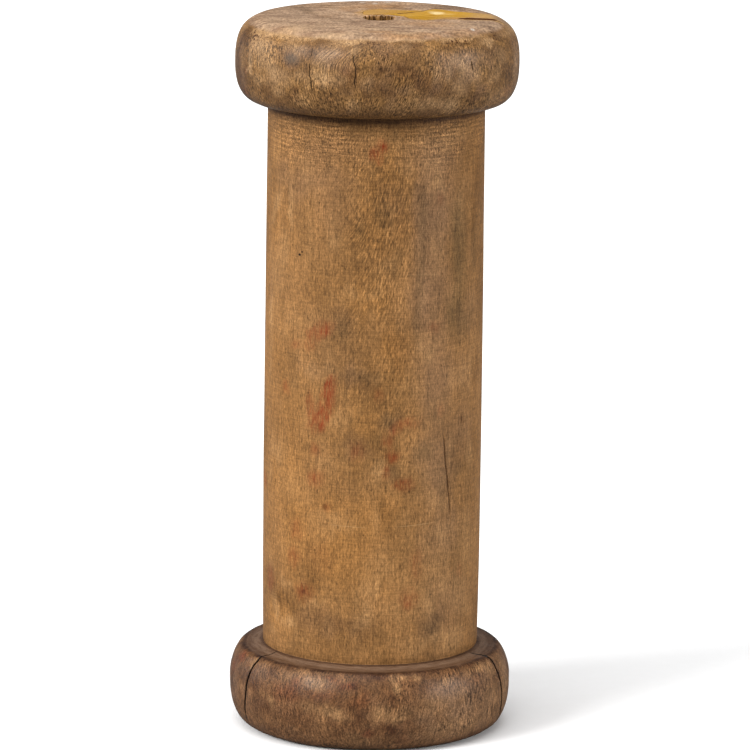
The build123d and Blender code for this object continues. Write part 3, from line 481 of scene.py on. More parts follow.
def head_marks(A, R, Z, foot):
    """Point values that tint a head, on its rounded rim and on its flat end."""
    X, Y = R * np.sin(A), -R * np.cos(A)
    seed = 500 if foot else 400
    n1, n2 = fbm(X / 4.5, Y / 4.5, Z / 4.5, seed + 1, 3, 0.6), fbm(X / 4.5, Y / 4.5, Z / 4.5, seed + 2, 3, 0.6)
    n3, n4 = fbm(X / 1.5, Y / 1.5, Z / 2.2, seed + 3, 3, 0.65), fbm(X / 1.5, Y / 1.5, Z / 2.2, seed + 4, 3, 0.65)
    patch = fbm(X / 6.0, Y / 6.0, Z / 6.0, seed + 5, 4, 0.62)
    patch2 = fbm(X / 1.7, Y / 1.7, Z / 5.5, seed + 6, 4, 0.66)
    streak = fbm(X / 0.8, Y / 0.8, Z / 6.0, seed + 7, 3, 0.6)
    k, period = 49.0 * math.pi / 180, 2 * math.pi * 49.0
    mm = lambda spots: [(a * k,) + tuple(rest) for a, *rest in spots]
    uw, vw = A * 49.0 + 1.5 * n1 + 0.9 * n3, Z + 1.5 * n2 + 1.1 * n4
    L, D, G, RD = (F_LIGHT_AND_SHEEN, F_DARK, F_GREY_AND_SHEEN, F_RED) if foot else (T_LIGHT_AND_SHEEN, T_DARK_AND_SHADE, T_GREY_AND_SHEEN, T_RED)
    body = smooth(30, 38, R)
    # on the rims, m_light and m_grey carry the painted sheen of the light and grey tables, and m_dark the painted shade
    # of the top's dark table
    rim = {
        "m_light": blots(uw, vw, mm(L), period) * (1 + 0.35 * patch2 + 0.4 * streak) + 0.05 * smooth(0.12, 0.6, -patch2) + 0.08 * smooth(0.1, 0.6, -patch),
        "m_dark": blots(uw, vw, mm(D), period) * (1 + 0.35 * patch2 - 0.4 * streak) + 0.07 * smooth(0.10, 0.55, patch2) + 0.14 * smooth(0.10, 0.6, patch),
        "m_grey": blots(uw, vw, mm(G), period) + 0.25 * n1,
        "m_red": blots(uw, vw, mm(RD), period) * (1 + 0.6 * n3),
        "m_warm": 0.45 + 0.9 * fbm(X / 9, Y / 9, Z / 9, seed + 8, 3),
    }
    if foot:
        # painted shade: the foot's rim darkens towards its lower edge by the floor
        rim["m_dark"] = rim["m_dark"] + 0.16 * smooth(5.5, 0.8, Z + 1.3 * n1 + 0.6 * n3)
    else:
        edge = Z + 1.2 * n2 + 0.5 * n4
        # painted shade with dirt: the top head's rim darkens, and loses its light marks, towards its underside, where
        # the head shades itself
        rim["m_dark"] = rim["m_dark"] + 0.34 * smooth(227.0, 221.5, edge) * (0.75 + 0.25 * np.cos(A + 0.4)) + 0.08 * smooth(233, 227, edge)
        rim["m_light"] = rim["m_light"] * (0.4 + 0.6 * smooth(222.5, 227, edge))
    # the flat end, its streaks drawn out along X
    ex, ey = X + 2.6 * n1 + 2.0 * n3, Y + 1.4 * n2 + 0.7 * n4
    drawn = fbm((X * 0.99 - Y * 0.12) / 15, (X * 0.12 + Y * 0.99) / 1.6, 0 * X, seed + 9, 4, 0.65)
    end = {
        "m_light": blots(ex, ey, E_LIGHT) * (1 + 0.5 * drawn) + 0.25 * smooth(0.05, 0.6, -drawn),
        "m_dark": blots(ex, ey, E_DARK) * (1 + 0.6 * drawn) + 0.42 * smooth(0.08, 0.6, drawn),
        "m_grey": blots(ex, ey, E_GREY) + 0.2 * n1,
        "m_red": 0 * X,
        "m_warm": blots(ex, ey, E_WARM) + 0.15 * n2,
    }
    if foot:
        face = smooth(1.2, 0.2, Z) * smooth(45, 40, R)
    else:
        face = smooth(247.7, 248.9, Z + 0.35 * n1 + 0.20 * n3 + 0.35 * smooth(-0.2, 1, -np.sin(A))) * smooth(48.2, 46, R)
    out = {key: np.clip(rim[key] * (1 - face) + end[key] * face, 0, 1) for key in rim}
    out["m_face"] = face
    out["m_warp"] = np.clip(0.5 + 0.5 * n1, 0, 1)
    if foot:
        rn = R + 0.45 * n3 + 0.35 * n1
        high = smooth(26.8, 27.6, Z)
        out["m_ring"] = smooth(27.7, 28.3, Z) * smooth(45.0, 44.0, rn) * smooth(36, 37, R)
        # a dark line along the ring's nicked outer edge, and painted shade in the corner beside the barrel
        out["m_dark_line_and_shade"] = np.clip(smooth(43.4, 44.3, rn) * smooth(46.0, 44.8, rn) * high * (0.80 + 0.8 * n2) + 0.60 * smooth(38.8, 37.9, rn) * smooth(28.0, 28.5, Z), 0, 1)
    else:
        front = smooth(0.35, 1.0, np.cos(A + 0.05)) * (0.75 + 0.5 * vnoise(A * 9, 0 * A, 0 * A, 125))
        inside = smooth(6.1, 5.75, R) * (Z < 249.97)
        lip = smooth(5.9 + 3.0 * front, 5.0 + 2.3 * front, R) * smooth(0.02, 0.25, front)
        hole = np.maximum(inside, lip * (Z > 248)) * (Z > 237.5)
        out["m_ring"] = hole
        # painted shade: darker the deeper it goes down the spindle hole
        out["m_dark_line_and_shade"] = np.clip(smooth(248.5, 240.0, Z), 0, 1)
    return {key: v * (body if key in ("m_ring",) and foot else 1.0) for key, v in out.items()}


def foot_piece():
    b = (10.2, 17.5, 2.70)
    t = (5.1, 29.4 - 0.85 - 17.5, 1.69)
    lower = even(edge_arc(FOOT_R - b[0], 17.5, b[0], b[1], b[2], True), 0.42)
    upper = even(edge_arc(FOOT_R - t[0], 17.5, t[0], t[1], t[2], False), 0.40)
    ring_z = lambda r: 29.4 - 0.85 * (r - 37.6) / (44.1 - 37.6)
    rr = np.linspace(44.1, 37.7, 18)
    # a shallow cove: the ring is worn hollow beside the barrel
    ring = np.c_[rr, [ring_z(r) - 0.32 * math.sin(math.pi * (44.1 - r) / 6.5) for r in rr]]
    prof = chain(
        lower, upper, ring, [(37.6, 29.4)],
        even([(37.6, 29.4), (SOCKET_R, 29.4)], 4), even([(SOCKET_R, 29.4), (SOCKET_R, 12.1)], 4),
        even([(SOCKET_R, 12.1), (BORE_R, 12.1)], 4), even([(BORE_R, 12.1), (BORE_R, 0.0)], 1.2),
        even([(BORE_R, 0.0), (39.0, 0.0)], 1.3),
    )
    az = azimuths(620, [(-61, 4, 5.0), (70, 5, 6.0), (151, 3, 2.0), (-148, 3, 1.5)])

    def move(A, R, Z, NR, NZ):
        X, Y = R * np.sin(A), -R * np.cos(A)
        skin = smooth(36, 39, R)
        base = (Z < 0.05) & (R < 39.2)
        c, depth = rim_cracks(A, R, Z, FOOT_CRACKS)
        h = 0.12 * fbm(X / 24, Y / 24, Z / 16, 41, 2) + 0.06 * fbm(X / 6, Y / 6, Z / 6, 42, 3)
        h -= 0.05
        h -= 0.28 * np.clip(fbm(X / 7, Y / 7, Z / 5, 44, 2) - 0.42, 0, 1)          # small dents
        # the shoulder ring's outer edge is nicked
        edge = np.exp(-((R - 44.4) / 0.9) ** 2) * (Z > 27)
        h -= edge * (0.10 + 0.30 * np.clip(fbm(X / 3.0, Y / 3.0, Z / 3, 47, 3), 0, 1))
        # worn pale hollow beside the left crack
        wear = np.exp(-(((np.degrees(A) + 61.5) * 0.85) / 2.6) ** 2 - ((Z - 25.6) / 2.0) ** 2)
        h -= 0.35 * wear
        h = h * skin - depth
        h = np.where(base, -np.abs(h) * 0.3, h)
        Rn, Zn = R + NR * h, Z + NZ * h
        Rn = np.minimum(Rn, 49.17)
        Zn = np.where(base, np.maximum(Z + 0.25 * smooth(0.25, 0.9, fbm(X / 9, Y / 9, Z, 61, 2)), 0.0), np.maximum(Zn, 0.0))
        return Rn * np.sin(A), -Rn * np.cos(A), Zn

    def marks(A, R, Z):
        c, _ = rim_cracks(A, R, Z, FOOT_CRACKS)
        return {"crack": c, **head_marks(A, R, Z, True)}

    return revolve("bottom_head_turned", prof, az, move, marks)


def top_piece():
    b = (9.6, 14.5, 2.58)
    t = (12.6, 14.9, 2.69)
    lower = even(edge_arc(TOP_R - b[0], TOP_SIDE, b[0], b[1], b[2], True), 0.50)
    upper = even(edge_arc(TOP_R - t[0], TOP_SIDE, t[0], t[1], t[2], False), 0.42)
    face = np.c_[np.r_[np.linspace(36.5, 9.5, 52)[:-1], np.linspace(9.5, 5.75, 12)], np.full(63, 250.0)]
    mouth = np.array([(5.5, 249.93), (5.36, 249.75)])
    prof = chain(
        lower, upper, face, mouth, even([(BORE_R, 249.5), (BORE_R, 243.5)], 0.55), even([(BORE_R, 243.5), (BORE_R, 237.9)], 1.4),
        even([(BORE_R, 237.9), (SOCKET_R, 237.9)], 4), even([(SOCKET_R, 237.9), (SOCKET_R, TOP_SHOULDER)], 4),
        even([(SOCKET_R, TOP_SHOULDER), (37.0, TOP_SHOULDER)], 4), even([(37.0, TOP_SHOULDER), (TOP_R - b[0], TOP_SHOULDER)], 0.8),
    )
    az = azimuths(500, [(90, 13, 1.8), (-9.1, 2.4, 4.5), (-27.3, 2.0, 5.0), (40.9, 1.6, 5.0), (128, 3.0, 1.5)])

    def move(A, R, Z, NR, NZ):
        X, Y = R * np.sin(A), -R * np.cos(A)
        face_in = (Z > 249.0) & (R > 5.3)
        skin = smooth(38.0, 39.6, R) * (Z < 249.9)
        c, depth = rim_cracks(A, R, Z, TOP_CRACKS)
        h = 0.12 * fbm(X / 24, Y / 24, Z / 16, 71, 2) + 0.06 * fbm(X / 6, Y / 6, Z / 6, 72, 3) - 0.05
        h -= 0.26 * np.clip(fbm(X / 7, Y / 7, Z / 5, 74, 2) - 0.42, 0, 1)
        # knocks along the upper edge of the rim
        edge = np.exp(-((Z - 248.0) / 1.4) ** 2) * (R > 40)
        h -= edge * (0.06 + 0.22 * np.clip(fbm(X / 2.2, Y / 2.2, Z / 2.2, 77, 3), 0, 1))
        h = h * skin - depth
        # the face: ring and fibre relief running with the grain, slightly dished
        grain = fbm((X * 0.14 + Y * 0.99) / 2.2, (X * 0.99 - Y * 0.14) / 34, 0 * Z, 81, 3)
        flat = smooth(5.3, 7.0, R) * (1 - smooth(38, 41, R)) * (Z > 247)
        h += flat * (0.07 * grain + 0.05 * fbm(X / 12, Y / 12, 0 * Z, 82, 2) - 0.12)
        h += (1 - smooth(3.0, 3.001, np.abs(Z - 250))) * 0
        # chips on the face
        for cx, cy, cr, cd in ((32.4, -25.3, 1.1, 0.45), (-2.1, 34.0, 3.0, 0.35), (1.5, 36.0, 2.0, 0.3), (-21.0, 6.0, 1.2, 0.2)):
            h -= cd * np.exp(-((X - cx) ** 2 + (Y - cy) ** 2) / cr ** 2) * (Z > 247) * (0.7 + 0.5 * vnoise(X / 0.8, Y / 0.8, 0 * Z, 83))
        # the torn-out split, below the filler
        sd = polygon_distance(X, Y, SPLIT)
        h -= 2.4 * (1 - smooth(-0.75, -0.15, sd)) * (Z > 244) * (R > 5.6)
        Rn, Zn = R + NR * h, Z + NZ * h
        Rn = np.minimum(Rn, 49.17)
        # ragged mouth of the spindle hole: torn on the far side
        far = smooth(-0.2, 1.0, -np.cos(A)) * 0.9 + 0.35 * smooth(0.2, 1.0, np.sin(A))
        torn = np.clip(0.35 + vnoise(A * 7.0, 0 * A, 0 * A, 91) + 0.6 * vnoise(A * 19.0, 0 * A, 0 * A, 92), 0, 1.4) * far
        below = np.clip(250.0 - Z, 0, 20)
        inbore = (R < 5.75) & (Z > 237.95)
        splinter = 0.32 * vnoise(A * 16, 0 * A, Z / 9, 93) + 0.18 * vnoise(A * 34, 0 * A, Z / 5, 94)
        Rn = np.where(inbore, Rn + torn * 0.35 * np.exp(-below / 2.2) + np.maximum(splinter, -0.1) * np.exp(-below / 5.0), Rn)
        lip = (R < 8.5) & (Z > 249.2)
        Zn = np.where(lip, Zn - 0.55 * torn * (1 - smooth(5.3, 8.0, R)) - 0.12 * (1 - smooth(5.3, 6.8, R)), Zn)
        Rn = np.where(lip & (R >= 5.7), np.maximum(Rn, 5.45 + torn * 0.35 + (R - 5.45) * 0.86), Rn)
        worn = smooth(0.35, 1.0, np.cos(A)) * (1 - smooth(5.3, 8.6, R)) * (Z > 247.5) * np.exp(-below / 2.0)
        Zn = Zn - 0.42 * worn - 0.30 * np.exp(-(R / 10.5) ** 2) * (Z > 247.5) * np.exp(-below / 2.0)
        shift = 0.45 * (1 - smooth(6.0, 11.0, R)) * (Z > 237.95) * np.exp(-below / 6.0)
        return Rn * np.sin(A) + shift, -Rn * np.cos(A), np.minimum(Zn, 250.15)

    def marks(A, R, Z):
        X, Y = R * np.sin(A), -R * np.cos(A)
        c, _ = rim_cracks(A, R, Z, TOP_CRACKS)
        sd = polygon_distance(X, Y, SPLIT)
        # painted shade: the wood in the hollow of the split under the filler darkened
        cleft_shade = (1 - smooth(-0.5, 0.25, sd)) * (Z > 244) * (R > 5.6) * (1 - 0.75 * smooth(42.5, 45.0, X))
        n = 1.6 * fbm(X / 3.0, Y / 1.2, 0 * X, 120, 3) + 0.8 * fbm(X / 0.9, Y / 0.6, 0 * X, 121, 2)
        stain = (1 - smooth(0.0, 2.6, sd + n)) * (Z > 247) * (0.35 + 0.65 * smooth(0, 8, R - 6))
        return {"crack": np.maximum(c, cleft_shade), "m_stain": stain, **head_marks(A, R, Z, False)}

    return revolve("top_head_turned", prof, az, move, marks)


# ------------------------------------------------------------------ filler in the split
def face_height(r):
    """Height of the top head's outside over radius r, its flat face and upper rounding."""
    a, b, p = 12.6, 14.9, 2.69
    q = np.clip((r - (TOP_R - a)) / a, 0, 0.999)
    return TOP_SIDE + b * (1 - q ** p) ** (1 / p)


def filler_height(x, y):
    """How far the filler stands above the face, in mm."""
    # line of the torn crest, behind which it drops
    cx = np.array([-6.0, 7.0, 10.8, 14.9, 17.5, 19.5, 21.6, 25.4, 32.6, 38.4, 46.0])
    cy = np.array([8.5, 7.5, 7.2, 8.2, 10.2, 11.5, 11.2, 9.4, 8.4, 6.2, 3.0])
    ch = np.array([-0.15, 0.12, 0.45, 0.90, 1.15, 1.20, 1.10, 0.82, 0.50, 0.30, 0.12])
    line, crest = np.interp(x, cx, cy), np.interp(x, cx, ch)
    front = np.clip((line - y) / 11.0, 0, 1)
    rise = crest * (1 - smooth(0.0, 1.0, front)) - 0.06
    behind = y - line
    drop = smooth(0.0, np.interp(x, [6, 18, 22, 30, 46], [0.35, 0.45, 2.2, 3.5, 4.0]), behind)
    back = -0.12 + 0.10 * smooth(0, 8, behind)
    h = rise * (1 - drop) + back * drop
    # front edge curls up near the rim, over an open crack
    lip = smooth(24, 33, x) * (1 - smooth(42.5, 45.0, x))
    h = h + lip * 0.42 * np.exp(-((y + 3.2) / 2.0) ** 2)
    h = h + 0.10 * fbm(x / 3.5, y / 3.5, 0 * x, 101, 3) + 0.05 * fbm(x / 9.0, y / 1.1, 0 * x, 103, 2)
    return h


def filler_piece():
    """The filler's own mesh: rows run from the split's front edge to its back edge, closed round below."""
    poly = np.asarray(SPLIT)
    xs = np.linspace(-5.35, 45.95, 172)
    closed = np.r_[poly, poly[:1]]
    lo, hi = [], []
    for x in xs:
        ys = []
        for (x0, y0), (x1, y1) in zip(closed[:-1], closed[1:]):
            if (x0 - x) * (x1 - x) <= 0 and x0 != x1:
                ys.append(y0 + (y1 - y0) * (x - x0) / (x1 - x0))
        lo.append(min(ys)), hi.append(max(ys))
    lo, hi = np.array(lo), np.array(hi)
    # the front edge stands back from the wood where the crack is open
    open_gap = 0.10 + 0.75 * smooth(25, 31, xs) * (1 - smooth(44, 46, xs))
    ragged = 0.10 * vnoise(xs / 0.9, 0 * xs, 0 * xs, 111)
    lo = lo + open_gap + ragged
    hi = hi - 0.12 + 0.10 * vnoise(xs / 0.8, 0 * xs + 5, 0 * xs, 112)
    n_across = 56
    t = np.linspace(0, 1, n_across)
    t = 0.5 - 0.5 * np.cos(np.pi * t)
    t = 0.35 * t + 0.65 * np.linspace(0, 1, n_across)
    # the grid in plan, each row spread from the split's front edge to its back edge
    X = np.repeat(xs[:, None], n_across, 1)
    Y = lo[:, None] + (hi - lo)[:, None] * t[None]
    R = np.hypot(X, Y)
    top = face_height(R) + filler_height(X, Y)
    sd = np.minimum(t, 1 - t)[None] * (hi - lo)[:, None]
    end = np.minimum(xs - xs[0], xs[-1] - xs)[:, None]
    near_edge = np.minimum(sd, end)
    lift = smooth(24, 33, X) * (t[None] < 0.5)
    rounding = np.sqrt(np.clip(1 - (1 - np.clip(near_edge / 0.55, 0, 1)) ** 2, 0, 1))
    top = top - (1 - rounding) * (0.45 - 0.25 * lift)
    bottom = np.full(X.shape, 247.3) - 0.4 * smooth(38, 46, X) - 3.0 * smooth(40, 46, X)
    bottom = np.minimum(bottom, top - 0.5)
    # under the lifted lip the filler is hollowed out
    under = lift * smooth(0.0, 1.0, 1 - sd / 2.2)
    bottom = bottom + under * np.clip(top - 0.62 - bottom, 0, None)
    n = len(xs)
    co_top = np.stack([X, Y, np.minimum(top, 251.15)], -1).reshape(-1, 3)
    co_bot = np.stack([X, Y, bottom], -1).reshape(-1, 3)
    co = np.r_[co_top, co_bot] * MM
    idx = np.arange(n * n_across).reshape(n, n_across)
    off = n * n_across
    a, b, c, d = idx[:-1, :-1], idx[1:, :-1], idx[1:, 1:], idx[:-1, 1:]
    quads = [np.stack([a, b, c, d], -1).reshape(-1, 4), np.stack([d, c, b, a], -1).reshape(-1, 4) + off]
    for line, flip in ((idx[:, 0], False), (idx[:, -1], True), (idx[0, :], True), (idx[-1, :], False)):
        p, q = line[:-1], line[1:]
        s = np.stack([p + off, q + off, q, p], -1) if not flip else np.stack([p, q, q + off, p + off], -1)
        quads.append(s)
    quads = np.concatenate(quads)
    edge_dirt = np.clip(1 - near_edge / 0.8, 0, 1)
    # painted shadow: a dark line just in front of the torn crest, for the shadow of the gap behind it
    crest = np.abs(Y - np.interp(X, [7.0, 10.8, 14.9, 17.5, 19.5], [7.5, 7.2, 8.2, 10.2, 11.5]) + 0.45 + 0.25 * vnoise(X / 1.3, 0 * X, 0 * X, 115))
    crest_shadow_line = np.clip(1.5 - crest / 0.60, 0, 1) * smooth(6.0, 7.5, X) * (1 - smooth(17.0, 18.6, X))
    dirt_and_painted_shade = np.maximum(edge_dirt * 0.5, crest_shadow_line) * (1 - 0.75 * smooth(40.0, 43.0, X))
    # painted shade under the curled lip
    shade_under_lip = smooth(25.5, 29.0, X) * (1 - smooth(39.5, 42.5, X)) * 0.8 * np.clip(1.2 - (Y - lo[:, None]) / 0.8, 0, 1)
    dirt_and_painted_shade = np.maximum(dirt_and_painted_shade, shade_under_lip)
    values = {"crack": np.r_[dirt_and_painted_shade.ravel(), np.ones(off)]}
    return mesh_object("split_filler_hardened", co, quads, values)


pieces = {"barrel": barrel_piece(), "bottom_head": foot_piece(), "top_head": top_piece(), "split_filler": filler_piece()}
for node, o in pieces.items():
    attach(o, "root")
    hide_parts(node)

# ------------------------------------------------------------------ materials: a small node-graph writer
def lin(c):
    """sRGB 0-255 to linear."""
    out = []
    for v in c:
        v /= 255.0
        out.append(v / 12.92 if v <= 0.04045 else ((v + 0.055) / 1.055) ** 2.4)
    return tuple(out)


class Graph:
    """Writes shader nodes from short calls. Every value is a socket or a plain number."""

    def __init__(self, name):
        self.m = bpy.data.materials.new(name)
        self.m.use_nodes = True
        self.t = self.m.node_tree
        self.t.nodes.clear()
        self.out = self.t.nodes.new("ShaderNodeOutputMaterial")
        self.bsdf = self.t.nodes.new("ShaderNodeBsdfPrincipled")
        self.t.links.new(self.bsdf.outputs[0], self.out.inputs["Surface"])
        tc = self.t.nodes.new("ShaderNodeTexCoord")
        s = self.node("ShaderNodeVectorMath", operation="SCALE")
        self.t.links.new(tc.outputs["Object"], s.inputs[0])
        s.inputs["Scale"].default_value = 1000.0
        self.p = s.outputs[0]
        sep = self.node("ShaderNodeSeparateXYZ")
        self.t.links.new(self.p, sep.inputs[0])
        self.x, self.y, self.z = sep.outputs

    def node(self, kind, **props):
        n = self.t.nodes.new(kind)
        for k, v in props.items():
            setattr(n, k, v)
        return n

    def put(self, socket, value):
        if isinstance(value, bpy.types.NodeSocket):
            self.t.links.new(value, socket)
        elif isinstance(value, (tuple, list)):
            socket.default_value = tuple(value) + ((1.0,) if len(socket.default_value) == 4 and len(value) == 3 else ())
        else:
            socket.default_value = value

    def math(self, op, a, b=0.0, c=0.0, clamp=False):
        n = self.node("ShaderNodeMath", operation=op, use_clamp=clamp)
        for s, v in zip(n.inputs, (a, b, c)):
            self.put(s, v)
        return n.outputs[0]

    def add(self, a, b): return self.math("ADD", a, b)
    def sub(self, a, b): return self.math("SUBTRACT", a, b)
    def mul(self, a, b): return self.math("MULTIPLY", a, b)
    def mad(self, a, b, c): return self.math("MULTIPLY_ADD", a, b, c)
    def hi(self, a, b): return self.math("MAXIMUM", a, b)
    def lo(self, a, b): return self.math("MINIMUM", a, b)

    def all(self, first, *rest):
        for r in rest:
            first = self.mul(first, r)
        return first

    def step(self, x, e0, e1, y0=0.0, y1=1.0):
        """Smooth step from y0 at e0 to y1 at e1."""
        n = self.node("ShaderNodeMapRange", interpolation_type="SMOOTHSTEP")
        for k, v in (("Value", x), ("From Min", e0), ("From Max", e1), ("To Min", y0), ("To Max", y1)):
            self.put(n.inputs[k], v)
        return n.outputs["Result"]

    def vec(self, x, y, z=0.0):
        n = self.node("ShaderNodeCombineXYZ")
        for s, v in zip(n.inputs, (x, y, z)):
            self.put(s, v)
        return n.outputs[0]

    def scaled(self, v, s, shift=(0, 0, 0), turn=(0, 0, 0)):
        n = self.node("ShaderNodeMapping", vector_type="POINT")
        self.put(n.inputs["Vector"], v)
        n.inputs["Location"].default_value = shift
        n.inputs["Rotation"].default_value = turn
        n.inputs["Scale"].default_value = s
        return n.outputs[0]

    def noise(self, v, sizes, detail=2.0, rough=0.5, seed=0.0, warp=0.0, turn=(0, 0, 0)):
        """0 to 1 noise whose features are about sizes mm along x, y and z."""
        q = self.scaled(v, tuple(1.0 / s for s in sizes), (seed * 3.17, seed * 1.73 + 11.0, seed * 2.39), turn)
        n = self.node("ShaderNodeTexNoise", noise_dimensions="3D")
        self.put(n.inputs["Vector"], q)
        n.inputs["Scale"].default_value = 1.0
        n.inputs["Detail"].default_value = detail
        n.inputs["Roughness"].default_value = rough
        n.inputs["Distortion"].default_value = warp
        return n.outputs["Fac"]

    def cells(self, v, sizes, seed=0.0, feature="F1", randomness=1.0):
        q = self.scaled(v, tuple(1.0 / s for s in sizes), (seed * 2.17, seed * 1.13 + 7.0, seed * 3.39))
        n = self.node("ShaderNodeTexVoronoi", voronoi_dimensions="3D", feature=feature)
        self.put(n.inputs["Vector"], q)
        n.inputs["Scale"].default_value = 1.0
        n.inputs["Randomness"].default_value = randomness
        return n.outputs["Distance"], n.outputs["Color"]

    def red(self, colour):
        n = self.node("ShaderNodeSeparateColor")
        self.put(n.inputs[0], colour)
        return n.outputs[0]

    def mix(self, fac, a, b, blend="MIX"):
        n = self.node("ShaderNodeMix", data_type="RGBA", blend_type=blend, clamp_factor=True)
        self.put(n.inputs[0], fac)
        self.put(n.inputs[6], a)
        self.put(n.inputs[7], b)
        return n.outputs[2]

    def shade(self, colour, amount):
        """Multiplies a colour by a number."""
        n = self.node("ShaderNodeVectorMath", operation="SCALE")
        self.put(n.inputs[0], colour)
        self.put(n.inputs["Scale"], amount)
        return n.outputs[0]

    def attribute(self, name):
        n = self.node("ShaderNodeAttribute", attribute_name=name)
        return n.outputs["Fac"]

    def spot(self, v, centre, radii, turn=0.0, soft=(1.15, 0.35)):
        """1 inside an ellipse on a 2D vector, fading out to its edge."""
        n = self.node("ShaderNodeMapping", vector_type="TEXTURE")
        self.put(n.inputs["Vector"], v)
        n.inputs["Location"].default_value = (centre[0], centre[1], 0.0)
        n.inputs["Rotation"].default_value = (0, 0, math.radians(turn))
        n.inputs["Scale"].default_value = (radii[0], radii[1], 1.0)
        d = self.node("ShaderNodeVectorMath", operation="LENGTH")
        self.t.links.new(n.outputs[0], d.inputs[0])
        return self.step(d.outputs["Value"], soft[0], soft[1])

    def bump(self, height, strength=1.0, distance_mm=0.1, under=None):
        n = self.node("ShaderNodeBump")
        self.put(n.inputs["Height"], height)
        n.inputs["Strength"].default_value = strength
        n.inputs["Distance"].default_value = distance_mm * MM
        if under is not None:
            self.t.links.new(under, n.inputs["Normal"])
        return n.outputs[0]

    def finish(self, colour, rough, normal, specular=0.4, coat=0.0, coat_rough=0.3):
        b = self.bsdf
        self.put(b.inputs["Base Color"], colour)
        self.put(b.inputs["Roughness"], rough)
        self.t.links.new(normal, b.inputs["Normal"])
        b.inputs["Specular IOR Level"].default_value = specular
        b.inputs["Coat Weight"].default_value = coat
        b.inputs["Coat Roughness"].default_value = coat_rough
        return self.m


# ------------------------------------------------------------------ barrel wood
def seen(c, light=1.45, haze=0.014):
    """Albedo that looks like sRGB c under the studio light, less the little that its polish adds."""
    return tuple(max(v - haze, 0.0015) / light for v in lin(c))


